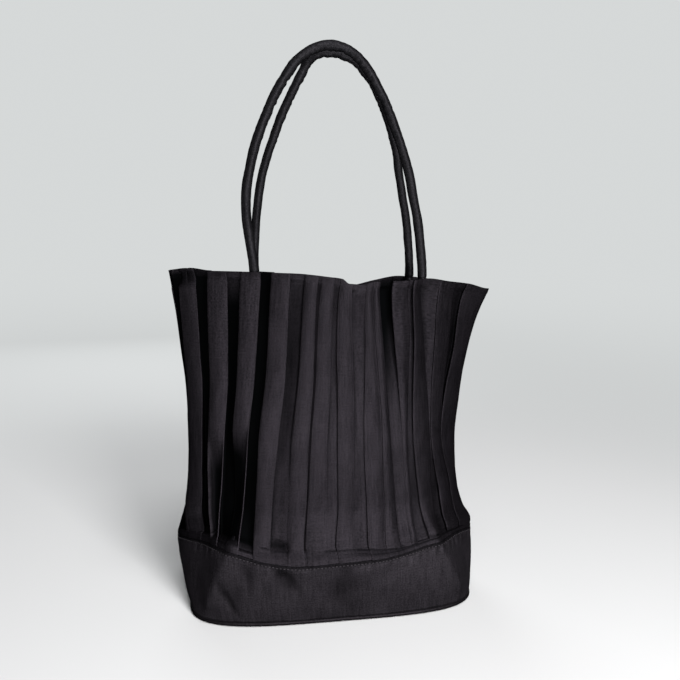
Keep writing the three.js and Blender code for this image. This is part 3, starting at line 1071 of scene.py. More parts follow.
def outward_of(path: Array) -> Array:
    """Level outward directions of a closed path around the bag.

    Args:
        path: Its points, from the left end along the front.

    Returns:
        One direction per point, of length 1.
    """
    along = np.roll(path, -1, axis=0) - np.roll(path, 1, axis=0)
    out = np.column_stack([along[:, 1], -along[:, 0], np.zeros(len(path))])
    return out / np.maximum(np.linalg.norm(out, axis=1, keepdims=True), TINY)


@dataclass
class StitchLine:
    """One line of stitches: its pitch, stitch and thread sizes in millimetres, and its slant in degrees."""

    name: str
    pitch: float = 3.6
    length: float = 2.3
    thread: float = 0.34
    lift: float = 0.1
    slant: float = 3.0
    seed: int = 1

    def sew(self, tree: StitchTree, path: Array, finish: bpy.types.Material, slot: Slot) -> None:
        """Sews and dresses the line as one plain mesh.

        Args:
            tree: The stitch tree.
            path: The points of a closed path around the bag.
            finish: The thread's material.
            slot: The material slot that the thread goes with.
        """
        edges = [(i, (i + 1) % len(path)) for i in range(len(path))]
        mesh = bpy.data.meshes.new(self.name + "_path")
        mesh.from_pydata((path * MM).tolist(), edges, [])
        outward = mesh.attributes.new("outward", "FLOAT_VECTOR", "POINT")
        outward.data.foreach_set("vector", outward_of(path).reshape(-1))
        carrier = show(self.name + "_path", mesh)
        modifier = carrier.modifiers.new("sewn", "NODES")
        modifier.node_group = tree.tree
        sizes = {
            "Pitch": self.pitch * MM,
            "Stitch length": self.length * MM,
            "Thread radius": self.thread * MM,
            "Lift": self.lift * MM,
            "Slant": math.radians(self.slant),
            "Seed": self.seed,
            "Thread": finish,
        }
        for key, value in sizes.items():
            modifier[tree.names[key]] = value
        drawn = carrier.evaluated_get(bpy.context.evaluated_depsgraph_get())
        sewn = bpy.data.meshes.new_from_object(drawn)
        sewn.name = self.name
        carrier.modifiers.remove(modifier)
        bpy.data.objects.remove(carrier)
        dress(show(self.name, sewn), finish, slot)


@dataclass
class Face:
    """One pleat's face at every level.

    It holds the runs of its two folds, how much deeper its right fold lies, how far it is sunk, how much its
    edges are painted lighter as wear and highlight, and how far it is crowned.
    """

    row: dict[str, float]
    left: Array
    right: Array
    lean: Array
    sunk: Array
    edge: Array
    crown: Array

    FLATNESS = 0.3

    def across(self, run: Array) -> Array:
        """The share of the face's width at runs across it."""
        return np.clip((run - self.left) / (self.right - self.left), 0.0, 1.0)

    def hollow(self, run: Array, turned: float = 0.8) -> Array:
        """How deep the face is sunk and turned in.

        Args:
            run: Runs across it.
            turned: The share of its turn that counts.

        Returns:
            The depths there.
        """
        across = self.across(run)
        start = self.row["start"]
        arch = np.clip(np.sin(math.pi * (start + (1 - start) * across)), 0.0, 1.0)
        return self.sunk * arch**self.FLATNESS + turned * np.maximum(0.0, -self.lean) * (1 - across)

    def push(self, run: Array) -> Array:
        """How far the face lies under the outline.

        Args:
            run: Runs across it.

        Returns:
            The pushes there.
        """
        across = self.across(run)
        tilt = np.maximum(0.0, self.lean) * (across - 0.5)
        return self.hollow(run, turned=1.0) - self.crown * 4 * across * (1 - across) + tilt


@dataclass
class Wall:
    """One side of a recess at every level: depths of brim and floor, undercut, radius and turn, and shade."""

    brim: Array
    floor: Array
    under: Array
    radius: Array
    turn: Array
    shade: Array

    LEAST_STEP = 0.15
    DEPTH_PER_RADIUS = 2.2
    UNDERCUT_TURN = 1.35
    SHADED_DEPTHS = (0.3, 1.6)
    FOLD_STEPS = ((0.35, 1.0), (0.6, 1.0), (0.8, 0.6), (1.0, 0.2))
    FOLD_SHARE = 0.15
    SIDE_STEPS = (0.5, 0.9)

    @classmethod
    def of(cls, brim: Array, depth: Array, under: Array, radius: Array, pressed: Array) -> "Wall":
        """A side of a recess.

        Args:
            brim: The depth of the fold at its brim.
            depth: The depth of the recess.
            under: How far the recess reaches under the fold.
            radius: The fold's largest radius.
            pressed: How dark the shade painted into a pressed crease is.

        Returns:
            The side.
        """
        return cls(
            brim=brim,
            floor=np.maximum(depth, brim + cls.LEAST_STEP),
            under=under,
            radius=np.minimum(radius, depth / cls.DEPTH_PER_RADIUS),
            turn=math.radians(90) + np.arctan2(cls.UNDERCUT_TURN * under, depth),
            shade=pressed * ease(*cls.SHADED_DEPTHS, depth),
        )

    def steps(self) -> list[tuple[Array, Array, float, float]]:
        """The points from the fold down to the recess.

        Returns:
            For each, how far out of the fold and how deep it lies, its share of the depth and its crest.
        """
        points = []
        for angle, crest in self.FOLD_STEPS:
            out = self.radius * np.sin(self.turn * angle)
            depth = self.brim + self.radius * (1 - np.cos(self.turn * angle))
            points.append((out, depth, self.FOLD_SHARE * angle, crest))
        for t in self.SIDE_STEPS:
            share = self.FOLD_SHARE + (1 - self.FOLD_SHARE) * t
            points.append((out - (out + self.under) * t, depth + (self.floor - depth) * t, share, 0.0))
        return points


@dataclass
class Recess:
    """The recess between two pleats: the next pleat's left fold, and its two sides."""

    next_left: Array
    near: Wall
    far: Wall


class Columns:
    """The columns of a wall's net, gathered from left to right."""

    KEYS = ("run", "push", "inner_run", "inner_push", "crest", "painted_shade")
    DARK_FROM = 2.0
    DARK_OVER = 6.0

    def __init__(self, rows: int) -> None:
        """Starts with no column."""
        self.rows = rows
        self.parts: dict[str, list[Array]] = {key: [] for key in self.KEYS}

    def put(
        self,
        outer: tuple[Array, Array],
        inner: tuple[Array, Array],
        crest: Any,
        depth: Array,
        shade: Any = 0.0,
    ) -> None:
        """Adds one column.

        Args:
            outer: The runs of its outer points, and how far these lie under the outline.
            inner: The runs of its inner points, and how far those lie under the outline.
            crest: How much it is painted lighter, as a worn edge and as highlight.
            depth: How deep it lies between folds; deeper than DARK_FROM it is painted darker as shade.
            shade: How much shade is painted on it in a pressed crease.
        """
        # Painted shade: deeper recesses and pressed creases are painted darker.
        painted_shade = np.clip(np.maximum((depth - self.DARK_FROM) / self.DARK_OVER, shade), 0.0, 1.0)
        for key, value in zip(self.KEYS, (*outer, *inner, np.zeros(self.rows) + crest, painted_shade)):
            self.parts[key].append(value)

    def stacked(self) -> dict[str, Array]:
        """All columns side by side, by measure."""
        return {key: np.stack(columns, axis=1) for key, columns in self.parts.items()}


@dataclass
class PleatedBody:
    """The pleated wall from the seam over the band up to the hemmed mouth.

    The back fields are the pleats behind, the bulge is the ledge's swelling over the seam, and the tuck is
    the fold pressed into the hem at the left end, where shade is painted. Shade is also painted into recesses
    and creases, and fold edges are painted lighter as wear and highlight.
    """

    cloth: float = 1.1
    crown: float = 0.7
    fold_radius: float = 0.85
    fold_gap_share: float = 0.2
    far_undercut: float = 1.0
    undercut_depths: Span = (0.4, 3.0)
    undercut_face_share: float = 0.42
    undercut_gap_share: float = 0.25
    least_depth: float = 0.25
    least_far_depth: float = 0.12
    sag: float = 1.4
    end_share: float = 0.3
    inner_share: float = 0.42
    back_pleats: int = 11
    back_start: float = 102.5
    back_end: float = 200.0
    back_face: float = 0.6
    back_edge: float = 0.4
    back_wander: float = 0.9
    back_wander_steps: Span = (2.1, 1.3)
    back_depth: tuple[float, float, float] = (6.0, 7.0, 3.0)
    back_rise: tuple[float, float, float] = (0.6, 0.3, 1.7)
    back_tuck: float = 2.5
    end_depth: tuple[float, float, float] = (10.0, 12.0, 9.0)
    sunk_fade: float = 46.0
    sunk_foot: Span = (76.0, 82.0)
    foot_opens: Span = (72.5, 76.5)
    mouth_opens: Span = (200.0, 300.0)
    pressed_folds: Span = (0.3, 0.8)
    near_shade: float = 0.95
    near_fade: float = 2.4
    near_fall: float = 1.4
    far_shade: float = 0.8
    far_fade: float = 6.0
    face_crest: float = 0.55
    far_crest: float = 0.4
    wobble: float = 0.05
    sway_lengths: Span = (31.0, 13.0)
    short_sway: float = 0.6
    swing_length: float = 27.0
    tilt: float = 0.4
    tilt_length: float = 60.0
    unevenness: float = 0.22
    fine_share: float = 0.3
    calm_below: Span = (70.0, 90.0)
    bulge_height: float = 85.0
    bulge_reach: float = 7.0
    bulge: float = 0.2
    right_bulge: float = 3.2
    right_bulge_from: Span = (60.0, 80.0)
    right_bulge_to: Span = (101.0, 110.0)
    corners_fade: Span = (79.0, 112.0)
    tuck_run: float = 2.2
    tuck_reach: float = 4.6
    tuck_from: Span = (318.0, 325.0)
    tuck_to: Span = (330.0, 334.5)
    tuck_depth: float = 6.0
    tuck_inner_share: float = 0.3
    tuck_shade: float = 0.95
    hem: float = 5.2
    hem_step: float = 0.35
    hem_edge: Span = (-0.9, 0.3)
    rim_round: float = 0.45
    rim_crest: float = 0.5
    rim_turn: Span = (0.6, 1.0)
    cut_height: float = 292.0
    seed: int = 11
    developed: float = 0.0

    FACE_STEPS = 9
    SUNK_STEPS = 15
    RECESS_STEPS = 6
    RECESS_SPAN = (0.02, 0.98)
    LOWER_SPANS = ((SEAM_HEIGHT, 86, 27), (86, 118, 16), (118, 190, 28))
    UPPER_SPANS = ((190, 316, 22), (316, RIM_HEIGHT, 16))
    INNER_ROWS = (331, 326, 316, 300, 275, 250, 225, 200, 175, 150, 125, 105, 92, 84, 79, 74)
    PLAIN_COLUMNS = FOLD_SHAPES.columns[FOLD_SHAPES.columns.index("sunk") :]

    def outer_heights(self) -> Array:
        """The nominal heights of the outer rows, closest at the ledge and the hem."""
        spans = self.LOWER_SPANS + self.UPPER_SPANS
        return np.concatenate([np.linspace(*span, endpoint=False) for span in spans] + [[RIM_HEIGHT]])

    def pleats(self) -> list[dict[str, float]]:
        """Gathers the rows of all pleats.

        Returns:
            The front pleats' rows from the tables, then the back ones.
        """
        names = FOLD_PLACES.columns + FOLD_SHAPES.columns
        rows = [dict(zip(names, places + shape)) for places, shape in zip(FOLD_PLACES.rows, FOLD_SHAPES.rows)]
        return rows + [self.back_pleat(i) for i in range(self.back_pleats)]

    def back_pleat(self, order: int) -> dict[str, float]:
        """One pleat of the back, where they are even with a little wander.

        Args:
            order: Its place in the row of them, from the right end.

        Returns:
            Its row, named as the tables' columns.
        """
        pitch = (self.back_end - self.back_start) / (self.back_pleats - 1 + self.back_face)
        free = math.sin(math.pi * order / (self.back_pleats - 1))
        left = self.back_start + order * pitch
        row = dict.fromkeys(self.PLAIN_COLUMNS, 0.0)
        row.update(tuck=self.back_tuck, lowEdge=self.back_edge, topEdge=self.back_edge)
        for level, name in enumerate(FOLD_HEIGHTS):
            turn = self.back_wander_steps[0] * order + self.back_wander_steps[1] * level
            shift = self.back_wander * free * math.sin(turn)
            row[name + "Left"] = left + shift
            row[name + "Right"] = left + self.back_face * pitch + shift
        last = order == self.back_pleats - 1
        usual, swing, step = self.back_rise
        for name, depth in zip(("low", "waist", "top"), self.end_depth if last else self.back_depth):
            row[name + "Depth"] = depth
            row[name + "Rise"] = 1.0 if last else usual + swing * math.sin(step * order)
        return row

    @staticmethod
    def measure(pleat: dict[str, float], name: str, heights: Array) -> Array:
        """One measure of a pleat, read between the heights at which its row gives it.

        Args:
            pleat: The pleat's row.
            name: The measure.
            heights: The levels' nominal heights.

        Returns:
            The measure at those heights.
        """
        known = [(at, pleat[place + name]) for place, at in FOLD_HEIGHTS.items() if place + name in pleat]
        places, values = np.array(known).T
        return smooth_read(places, values, heights)

    def faces(self, heights: Array, fold: Array) -> list[Face]:
        """The faces of all pleats.

        Args:
            heights: The levels' nominal heights.
            fold: How far each level follows the folds' depth.

        Returns:
            The faces in the order of their runs.
        """
        rows = self.pleats()
        phases = np.random.default_rng(self.seed).uniform(0, math.tau, (len(rows), 4))
        long_sway, short_sway = self.sway_lengths
        out = []
        for row, phase in zip(rows, phases):
            free = 0.0 if row["lowRight"] % HALF_RUN == 0 else 1.0
            sway = np.sin(heights / long_sway + phase[0])
            sway = sway + self.short_sway * np.sin(heights / short_sway + phase[1])
            swing = free * np.sin(heights / self.swing_length + phase[2])
            tilt = self.tilt * np.sin(heights / self.tilt_length + phase[3])
            sunk_to = (row["sunkFrom"] - self.sunk_fade, row["sunkFrom"])
            face = Face(
                row=row,
                left=self.measure(row, "Left", heights) + self.wobble * sway * fold,
                right=self.measure(row, "Right", heights) + self.wobble * swing * fold,
                lean=(self.measure(row, "Lean", heights) + tilt) * fold,
                sunk=row["sunk"] * window(self.sunk_foot, sunk_to, heights),
                edge=self.measure(row, "Edge", heights),
                crown=self.crown * fold,
            )
            out.append(face)
        return out

    def recess(self, face: Face, after: Face, heights: Array, fold: Array, unit: Array) -> Recess:
        """The recess between a pleat and the next one.

        Args:
            face: The pleat's face.
            after: The next pleat's face.
            heights: The levels' nominal heights.
            fold: How far each level follows the folds' depth.
            unit: Millimetres in one unit of run.

        Returns:
            Its measures, one value per level.
        """
        next_left = np.where(after.left < face.left, after.left + FULL_RUN, after.left)
        gap = (next_left - face.right) * unit
        width = (face.right - face.left) * unit
        foot = face.row["foot"] * ease(*self.foot_opens, heights) * (heights < FOLD_HEIGHTS["low"])
        kept = np.maximum(fold + (1 - fold) * face.row["open"] * ease(*self.mouth_opens, heights), foot)
        depth = np.maximum(self.least_depth, self.measure(face.row, "Depth", heights) * kept)
        far_depth = np.maximum(self.least_far_depth, depth * self.measure(face.row, "Rise", heights))
        under = face.row["tuck"] * ease(*self.undercut_depths, depth)
        under = np.minimum(under, self.undercut_face_share * width)
        far_under = self.far_undercut * ease(*self.undercut_depths, far_depth)
        far_under = np.minimum(far_under, self.undercut_gap_share * gap)
        pressed = ease(*self.pressed_folds, kept)
        radius = np.minimum(self.fold_radius, self.fold_gap_share * gap)
        return Recess(
            next_left=next_left,
            near=Wall.of(face.push(face.right), depth, under, radius, self.near_shade * pressed),
            far=Wall.of(after.push(after.left), far_depth, far_under, radius, self.far_shade * pressed),
        )

    def profile(self, heights: Array, fold: Array, unit: Array) -> dict[str, Array]:
        """The folds around each level.

        Args:
            heights: The levels' nominal heights.
            fold: How far each level follows the folds' depth.
            unit: Millimetres in one unit of run, per level.

        Returns:
            Runs and pushes of the outer and inner faces, and the painted highlight and shade measures, a
            column per point.
        """
        columns = Columns(len(heights))
        faces = self.faces(heights, fold)
        nexts = faces[1:] + faces[:1]
        recesses = [self.recess(face, after, heights, fold, unit) for face, after in zip(faces, nexts)]
        for i, (face, after, recess) in enumerate(zip(faces, nexts, recesses)):
            near, far = recess.near, recess.far
            under_left = face.left + (recesses[i - 1].far.under + self.cloth) / unit
            under_right = face.right - (near.under + self.cloth) / unit
            for s in np.linspace(0, 1, self.SUNK_STEPS if face.row["sunk"] else self.FACE_STEPS):
                beneath = under_left + (under_right - under_left) * s
                run = face.left + (face.right - face.left) * s
                # Fold edges are painted lighter as wear and highlight.
                crest = self.face_crest * face.edge if s in (0.0, 1.0) else 0.0
                inner = (beneath, face.push(beneath) + self.cloth)
                columns.put((run, face.push(run)), inner, crest, face.hollow(run))
            foot, end = face.right - near.under / unit, recess.next_left + far.under / unit
            under_end = end + self.cloth / unit
            brink = face.push(under_right) + self.cloth
            far_brink = after.push(under_end - recess.next_left + after.left) + self.cloth
            for out, push, share, crest in near.steps():
                inner = (under_right, brink + (near.floor + self.cloth - brink) * share)
                shade = near.shade * (crest == 0.0)
                columns.put((face.right + out / unit, push), inner, crest * face.edge, push, shade)
            for q in np.linspace(*self.RECESS_SPAN, self.RECESS_STEPS):
                push = near.floor + (far.floor - near.floor) * ease(0.0, 1.0, q)
                push = push + self.sag * fold * q * (1 - q)
                shade = near.shade * max(0.0, 1 - self.near_fade * q) ** self.near_fall
                shade = shade + far.shade * max(0.0, 1 - self.far_fade * (1 - q))
                inner = (under_right + (under_end - under_right) * q, push + self.cloth)
                columns.put((foot + (end - foot) * q, push), inner, 0.0, push, shade)
            for out, push, share, crest in reversed(far.steps()):
                inner = (under_end, far_brink + (far.floor + self.cloth - far_brink) * share)
                shade = far.shade * (crest == 0.0)
                wear_and_highlight = self.far_crest * crest * after.edge
                columns.put((recess.next_left - out / unit, push), inner, wear_and_highlight, push, shade)
        return columns.stacked()

    def net(self, heights: Array, inner: bool) -> tuple[Array, dict[str, Array]]:
        """One face of the wall.

        Args:
            heights: Its rows' nominal heights.
            inner: Whether it is the inner face.

        Returns:
            Its points, and its measures of painted highlight and painted shade.
        """
        levels = BODY_LEVELS.levels(heights)
        ovals = Ovals(levels)
        unit = ovals.unit[:, None]
        folds = self.profile(heights, levels["fold"], ovals.unit)
        runs = folds["inner_run" if inner else "run"]
        push = folds["inner_push" if inner else "push"]
        high = np.broadcast_to(heights[:, None], runs.shape)
        uneven = WALL_SWELLS.at(runs * unit, high) + self.fine_share * WALL_RIPPLES.at(runs * unit, high)
        push = push + ease(*self.calm_below, high) * self.unevenness * uneven
        out = self.bulge + self.right_bulge * window(self.right_bulge_from, self.right_bulge_to, runs)
        push = push - bell(high, self.bulge_height, self.bulge_reach) * out
        push = push + corner_push(runs, high) * (1 - ease(*self.corners_fade, high))
        beside = np.mod(runs + HALF_RUN, FULL_RUN) - HALF_RUN
        tuck = bell(beside, self.tuck_run, self.tuck_reach) * window(self.tuck_from, self.tuck_to, high)
        groove, dark = creased(runs, high, unit)
        if inner:
            push = push + self.tuck_depth * self.tuck_inner_share * tuck
        else:
            hem_edge = [RIM_HEIGHT - self.hem + edge for edge in self.hem_edge]
            push = push + self.tuck_depth * tuck + groove - self.hem_step * ease(*hem_edge, high)
        # Painted shade: in the recesses, in the tuck's fold and in the creases.
        painted_shade = np.maximum(np.maximum(folds["painted_shade"], self.tuck_shade * tuck), dark)
        flat = ovals.pushed(runs, push, self.inner_share if inner else self.end_share)
        return np.dstack([flat, lifted(levels, runs)]), {"crest": folds["crest"], "painted_shade": painted_shade}

    def build(self) -> bpy.types.Object:
        """Builds the wall as one closed cloth, and measures its length along all folds.

        Returns:
            The wall.
        """
        outer_heights = self.outer_heights()
        inner_heights = np.array([RIM_HEIGHT, *self.INNER_ROWS, SEAM_HEIGHT])
        outer, outer_marks = self.net(outer_heights, inner=False)
        inner, inner_marks = self.net(inner_heights, inner=True)
        middle = 0.5 * (outer[-1:] + inner[:1])
        middle[..., 2] += self.rim_round * self.cloth
        points = np.concatenate([outer, middle, inner])
        marks = {}
        # The rim is painted lighter as wear and highlight.
        for key, value in (("crest", self.rim_crest), ("painted_shade", 0.0)):
            rim = np.full((1, points.shape[1]), value)
            marks[key] = np.concatenate([outer_marks[key], rim, inner_marks[key]])
        across = around_ring(outer[np.argmin(np.abs(outer_heights - FOLD_HEIGHTS["waist"]))])
        half_turn, turn = self.rim_turn
        up = np.concatenate([outer_heights, [RIM_HEIGHT + half_turn], 2 * RIM_HEIGHT + turn - inner_heights])
        self.developed = float(across[-1])
        return Grid(points, unrolled(up, across), marks, wraps_up=True).mesh("bag_pleated_wall")

    def make(self) -> None:
        piece = self.build()
        dress(piece, BODY_SATIN.material(), Slot.PLEATED)
        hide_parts("pleated_body")


@dataclass
class PlainBand:
    """The plain band between the base and the seam, with soft dents and puckers under the stitches.

    Shade is painted along the line of the stitches and on the edge over it, which turns into the seam, and
    into the dents.
    """

    cloth: float = 1.1
    columns: int = 520
    lower_rows: int = 26
    upper_rows: int = 14
    upper_from: float = 62.0
    inner_rows: int = 12
    end_share: float = 0.3
    inner_share: float = 0.4
    free_below: Span = (56.0, 68.0)
    unevenness: float = 0.25
    held_share: float = 0.3
    pucker: Strip = Strip(0.28, 64.0, 5.0)
    foot_pucker: Strip = Strip(0.2, 6.0, 3.0)
    lip: float = 0.05
    lip_from: Span = (64.6, 66.4)
    lip_to: Span = (68.0, 68.9)
    groove: Strip = Strip(0.08, 64.0, 0.9)
    sewn_shade: Strip = Strip(0.85, 66.2, 0.55)
    edge_from: Span = (66.6, 67.4)
    edge_shade: float = 0.75
    edge_crest: float = 0.1
    edge_crest_from: Span = (65.5, 67.0)
    dent_shade: float = 0.33
    darkest_dent: float = 0.6
    turn_height: float = 70.0
    cut: Span = (0.79, 0.071)
    seam_path: Array | None = None

    def runs(self, rows: int) -> Array:
        """The runs of a net's even columns, for a number of rows."""
        return np.broadcast_to(np.arange(self.columns) * FULL_RUN / self.columns, (rows, self.columns))

    def dents(self, runs: Array, heights: Array) -> Array:
        """How far the dents push points of the band inwards.

        Args:
            runs: The points' runs.
            heights: Their nominal heights.

        Returns:
            The pushes.
        """
        total = np.zeros(runs.shape)
        for run, height, half_width, half_height, lean, depth in BAND_DENTS.rows:
            across = runs - run - lean * (heights - height)
            total += depth * bell(across, 0.0, half_width) * bell(heights, height, half_height)
        return total

    def net(self, heights: Array, inner: bool) -> Array:
        """One face of the band.

        Args:
            heights: Its rows' nominal heights.
            inner: Whether it is the inner face.

        Returns:
            Its points.
        """
        levels = BAND_LEVELS.levels(heights)
        ovals = Ovals(levels)
        runs = self.runs(len(heights))
        high = np.broadcast_to(heights[:, None], runs.shape)
        along = runs * ovals.unit[:, None]
        free = 1 - ease(*self.free_below, high)
        push = self.dents(runs, high) * free + corner_push(runs, high)
        uneven = self.unevenness * (self.held_share + (1 - self.held_share) * free)
        push = push + uneven * BAND_SWELLS.at(along, high)
        push = push + self.pucker.at(high) * BAND_PUCKERS.at(along, high)
        push = push + self.foot_pucker.at(high) * FOOT_PUCKERS.at(along, high)
        if inner:
            push = push + self.cloth
        else:
            push = push - self.lip * window(self.lip_from, self.lip_to, high)
            push = push + self.groove.at(high)
        share = self.inner_share if inner else self.end_share
        return np.dstack([ovals.pushed(runs, push, share), lifted(levels, runs)])

    def build(self) -> bpy.types.Object:
        """Builds the band as one closed cloth, and finds the path of its stitches.

        Returns:
            The band.
        """
        low, high = BAND_LEVELS.rows[0][0], BAND_LEVELS.rows[-1][0]
        lower = np.linspace(low, self.upper_from, self.lower_rows, endpoint=False)
        outer_heights = np.concatenate([lower, np.linspace(self.upper_from, high, self.upper_rows)])
        inner_heights = np.linspace(high, low, self.inner_rows)
        outer = self.net(outer_heights, inner=False)
        points = np.concatenate([outer, self.net(inner_heights, inner=True)])
        self.seam_path = outer[np.argmin(np.abs(outer_heights - self.sewn_shade.middle))]
        tall = outer_heights[:, None]
        # Painted shade in the dents and along the seam; the edge over the seam is painted a little lighter as
        # highlight.
        dented = np.clip(self.dent_shade * self.dents(self.runs(len(tall)), tall), 0.0, self.darkest_dent)
        sewn = np.maximum(self.sewn_shade.at(tall), self.edge_shade * ease(*self.edge_from, tall))
        marks = {"crest": np.zeros(points.shape[:2]), "painted_shade": np.zeros(points.shape[:2])}
        marks["crest"][: len(outer)] = self.edge_crest * ease(*self.edge_crest_from, tall)
        marks["painted_shade"][: len(outer)] = np.maximum(dented, sewn)
        across = around_ring(outer[len(outer) // 2])
        up = np.concatenate([outer_heights, 2 * self.turn_height - inner_heights])
        return Grid(points, unrolled(up, across), marks, wraps_up=True).mesh("bag_plain_band")

    def make(self) -> None:
        piece = self.build()
        dress(piece, BAND_SATIN.material(), Slot.PLAIN)
        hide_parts("base_band")


@dataclass
class BasePad:
    """The padded oval base, whose rounded edge shows as a lip under the band."""

    thickness: float = 4.4
    columns: int = 320
    bulge: float = 0.5
    lip_rings: int = 11
    lip_crest: float = 0.35
    end_share: float = 0.3
    fill: float = 0.5

    UNDERSIDE = (0.004, 0.2, 0.4, 0.6, 0.75, 0.86, 0.93)
    TOP = (0.93, 0.8, 0.6, 0.4, 0.2, 0.004)

    def build(self) -> bpy.types.Object:
        """Builds the pad from its underside's middle, over the lip, to the middle of its top.

        Returns:
            The pad.
        """
        level = {name: PAD_LEVEL.column(name) for name in LEVEL_COLUMNS}
        ovals = Ovals(level)
        runs = np.arange(self.columns)[None, :] * FULL_RUN / self.columns
        middle = np.array([(level["right"][0] - level["left"][0]) / 2, 0.0])
        radius = self.thickness / 2
        profile = [(scale, 0.0, 0.0) for scale in self.UNDERSIDE]
        for turn in np.radians(np.linspace(-90, 90, self.lip_rings)):
            inset = radius * (1 - math.cos(turn)) - self.bulge
            profile.append((1.0, inset, radius + radius * math.sin(turn)))
        profile += [(scale, radius, self.thickness) for scale in self.TOP]
        rings = []
        for scale, inset, height in profile:
            edge = ovals.pushed(runs, np.full(runs.shape, inset), self.end_share)[0]
            flat = middle + (edge - middle) * scale
            rings.append(np.column_stack([flat, np.full(self.columns, height)]))
        points = np.stack(rings)
        cloth = np.concatenate([points, points[:, :1]], axis=1)[..., :2]
        marks = {"crest": np.zeros(points.shape[:2]), "painted_shade": np.zeros(points.shape[:2])}
        # The rounded lip is painted lighter as wear and highlight.
        marks["crest"][len(self.UNDERSIDE) : -len(self.TOP)] = self.lip_crest
        return Grid(points, cloth, marks).mesh("bag_base_pad")

    def make(self) -> None:
        piece = self.build()
        dress(piece, BASE_SATIN.material(), Slot.BASE)
        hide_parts("base_panel")


@dataclass
class StuffedHandle:
    """A stuffed tube handle over the mouth, wrinkled inside its bend.

    The apex is the height and the place along the width of its top, and the leg holds the depths of its two
    legs at the rim. The pinch is where each end is sewn in.
    """

    name: str
    node: str
    route: Table
    apex: Span
    leg: Span
    seed: int
    radius: float = 4.6
    flare: float = 0.1
    flare_length: float = 12.0
    lean: float = 0.036
    rings: int = 620
    sides: int = 28
    wrinkle: float = 0.19
    wrinkle_lengths: Span = (4.0, 26.0)
    wrinkle_waves: int = 30
    wrinkle_round: float = 0.5
    bend_from: Span = (90.0, 190.0)
    leg_share: float = 0.28
    bend_share: float = 0.35
    inside_share: float = 0.9
    lump: float = 0.12
    lump_lengths: Span = (16.0, 60.0)
    seam: Strip = Strip(0.3, math.pi, 0.16)
    seam_turn: float = 0.6
    pinch: Strip = Strip(0.6, 7.0, 1.3)
    crest_share: float = 0.6
    fill: float = 0.9

    FINE_STEPS = 4000

    def leant(self, start: float, height: Any) -> Any:
        """The depth at a height of a leg that leans towards the middle as it rises from its start."""
        return start - math.copysign(self.lean, start) * (height - RIM_HEIGHT)

    def spine(self) -> Array:
        """Lays a smooth curve through the route.

        Returns:
            Evenly spaced points along the handle's middle, from the left leg's foot to the right leg's.
        """
        heights = self.route.column("height")
        up = np.column_stack([self.route.column("left"), self.leant(self.leg[0], heights), heights])
        down = np.column_stack([self.route.column("right"), self.leant(self.leg[1], heights), heights])
        height, across = self.apex
        top = np.array([[across, self.leant(0.5 * (self.leg[0] + self.leg[1]), height), height]])
        knots = np.concatenate([up, top, down[::-1]])
        pace = lengths(knots, power=0.5)
        slopes = np.gradient(knots, pace, axis=0)
        at = np.linspace(0, pace[-1], self.FINE_STEPS)
        fine = np.column_stack([curve_read(pace, knots[:, k], slopes[:, k], at) for k in range(3)])
        along = lengths(fine)
        even = np.linspace(0, along[-1], self.rings)
        return np.column_stack([np.interp(even, along, fine[:, k]) for k in range(3)])

    def build(self) -> bpy.types.Object:
        """Builds the tube.

        Returns:
            The handle.
        """
        spine = self.spine()
        along = np.gradient(spine, axis=0)
        along /= np.linalg.norm(along, axis=1, keepdims=True)
        side = np.array([0.0, 1.0, 0.0]) - along * along[:, 1:2]
        side /= np.linalg.norm(side, axis=1, keepdims=True)
        across = np.cross(along, side)
        length = lengths(spine)
        to_end = np.minimum(length, length[-1] - length)[:, None]
        angle = math.tau * np.arange(self.sides) / self.sides
        place, turn = np.meshgrid(length, angle * self.radius, indexing="ij")
        wrinkles = Ripples(self.seed, *self.wrinkle_lengths, waves=self.wrinkle_waves)
        crush = wrinkles.at(place, self.wrinkle_round * turn)
        lumps = Ripples(self.seed + 1, *self.lump_lengths).at(place, turn)
        inside = np.maximum(0.0, -np.sin(angle))[None, :]
        bent = ease(*self.bend_from, to_end) * (self.bend_share + self.inside_share * inside)
        tight = self.wrinkle * crush * (self.leg_share + bent) + self.lump * lumps
        radius = self.radius * (1 + self.flare * np.maximum(0, 1 - to_end / self.flare_length))
        seam = self.seam.at(np.mod(angle + self.seam_turn, math.tau))[None, :]
        reach = radius + tight - seam - self.pinch.at(to_end)
        ring = side[:, None] * np.cos(angle)[None, :, None] + across[:, None] * np.sin(angle)[None, :, None]
        points = spine[:, None] + ring * reach[..., None]
        wrap = np.arange(self.sides + 1) * (math.tau * self.radius / self.sides)
        # The wrinkles' ridges are painted lighter as wear and highlight.
        marks = {"crest": np.clip(tight * self.crest_share, 0, 1), "painted_shade": np.zeros(points.shape[:2])}
        return Grid(points, unrolled(length, wrap), marks).mesh(self.name)

    def make(self, finish: bpy.types.Material) -> None:
        """Args:
            finish: The material that both handles share.
        """
        piece = self.build()
        dress(piece, finish, Slot.HANDLE)
        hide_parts(self.node)


FRONT_APEX, FRONT_LEG = (551.5, -9.5), (-21.3, -18.9)
BACK_APEX, BACK_LEG = (551.3, -4.5), (20.0, 21.2)
HANDLES = (
    StuffedHandle("bag_front_handle", "handle_front", HANDLE_FRONT, FRONT_APEX, FRONT_LEG, seed=31),
    StuffedHandle("bag_back_handle", "handle_back", HANDLE_BACK, BACK_APEX, BACK_LEG, seed=41, radius=4.3),
)


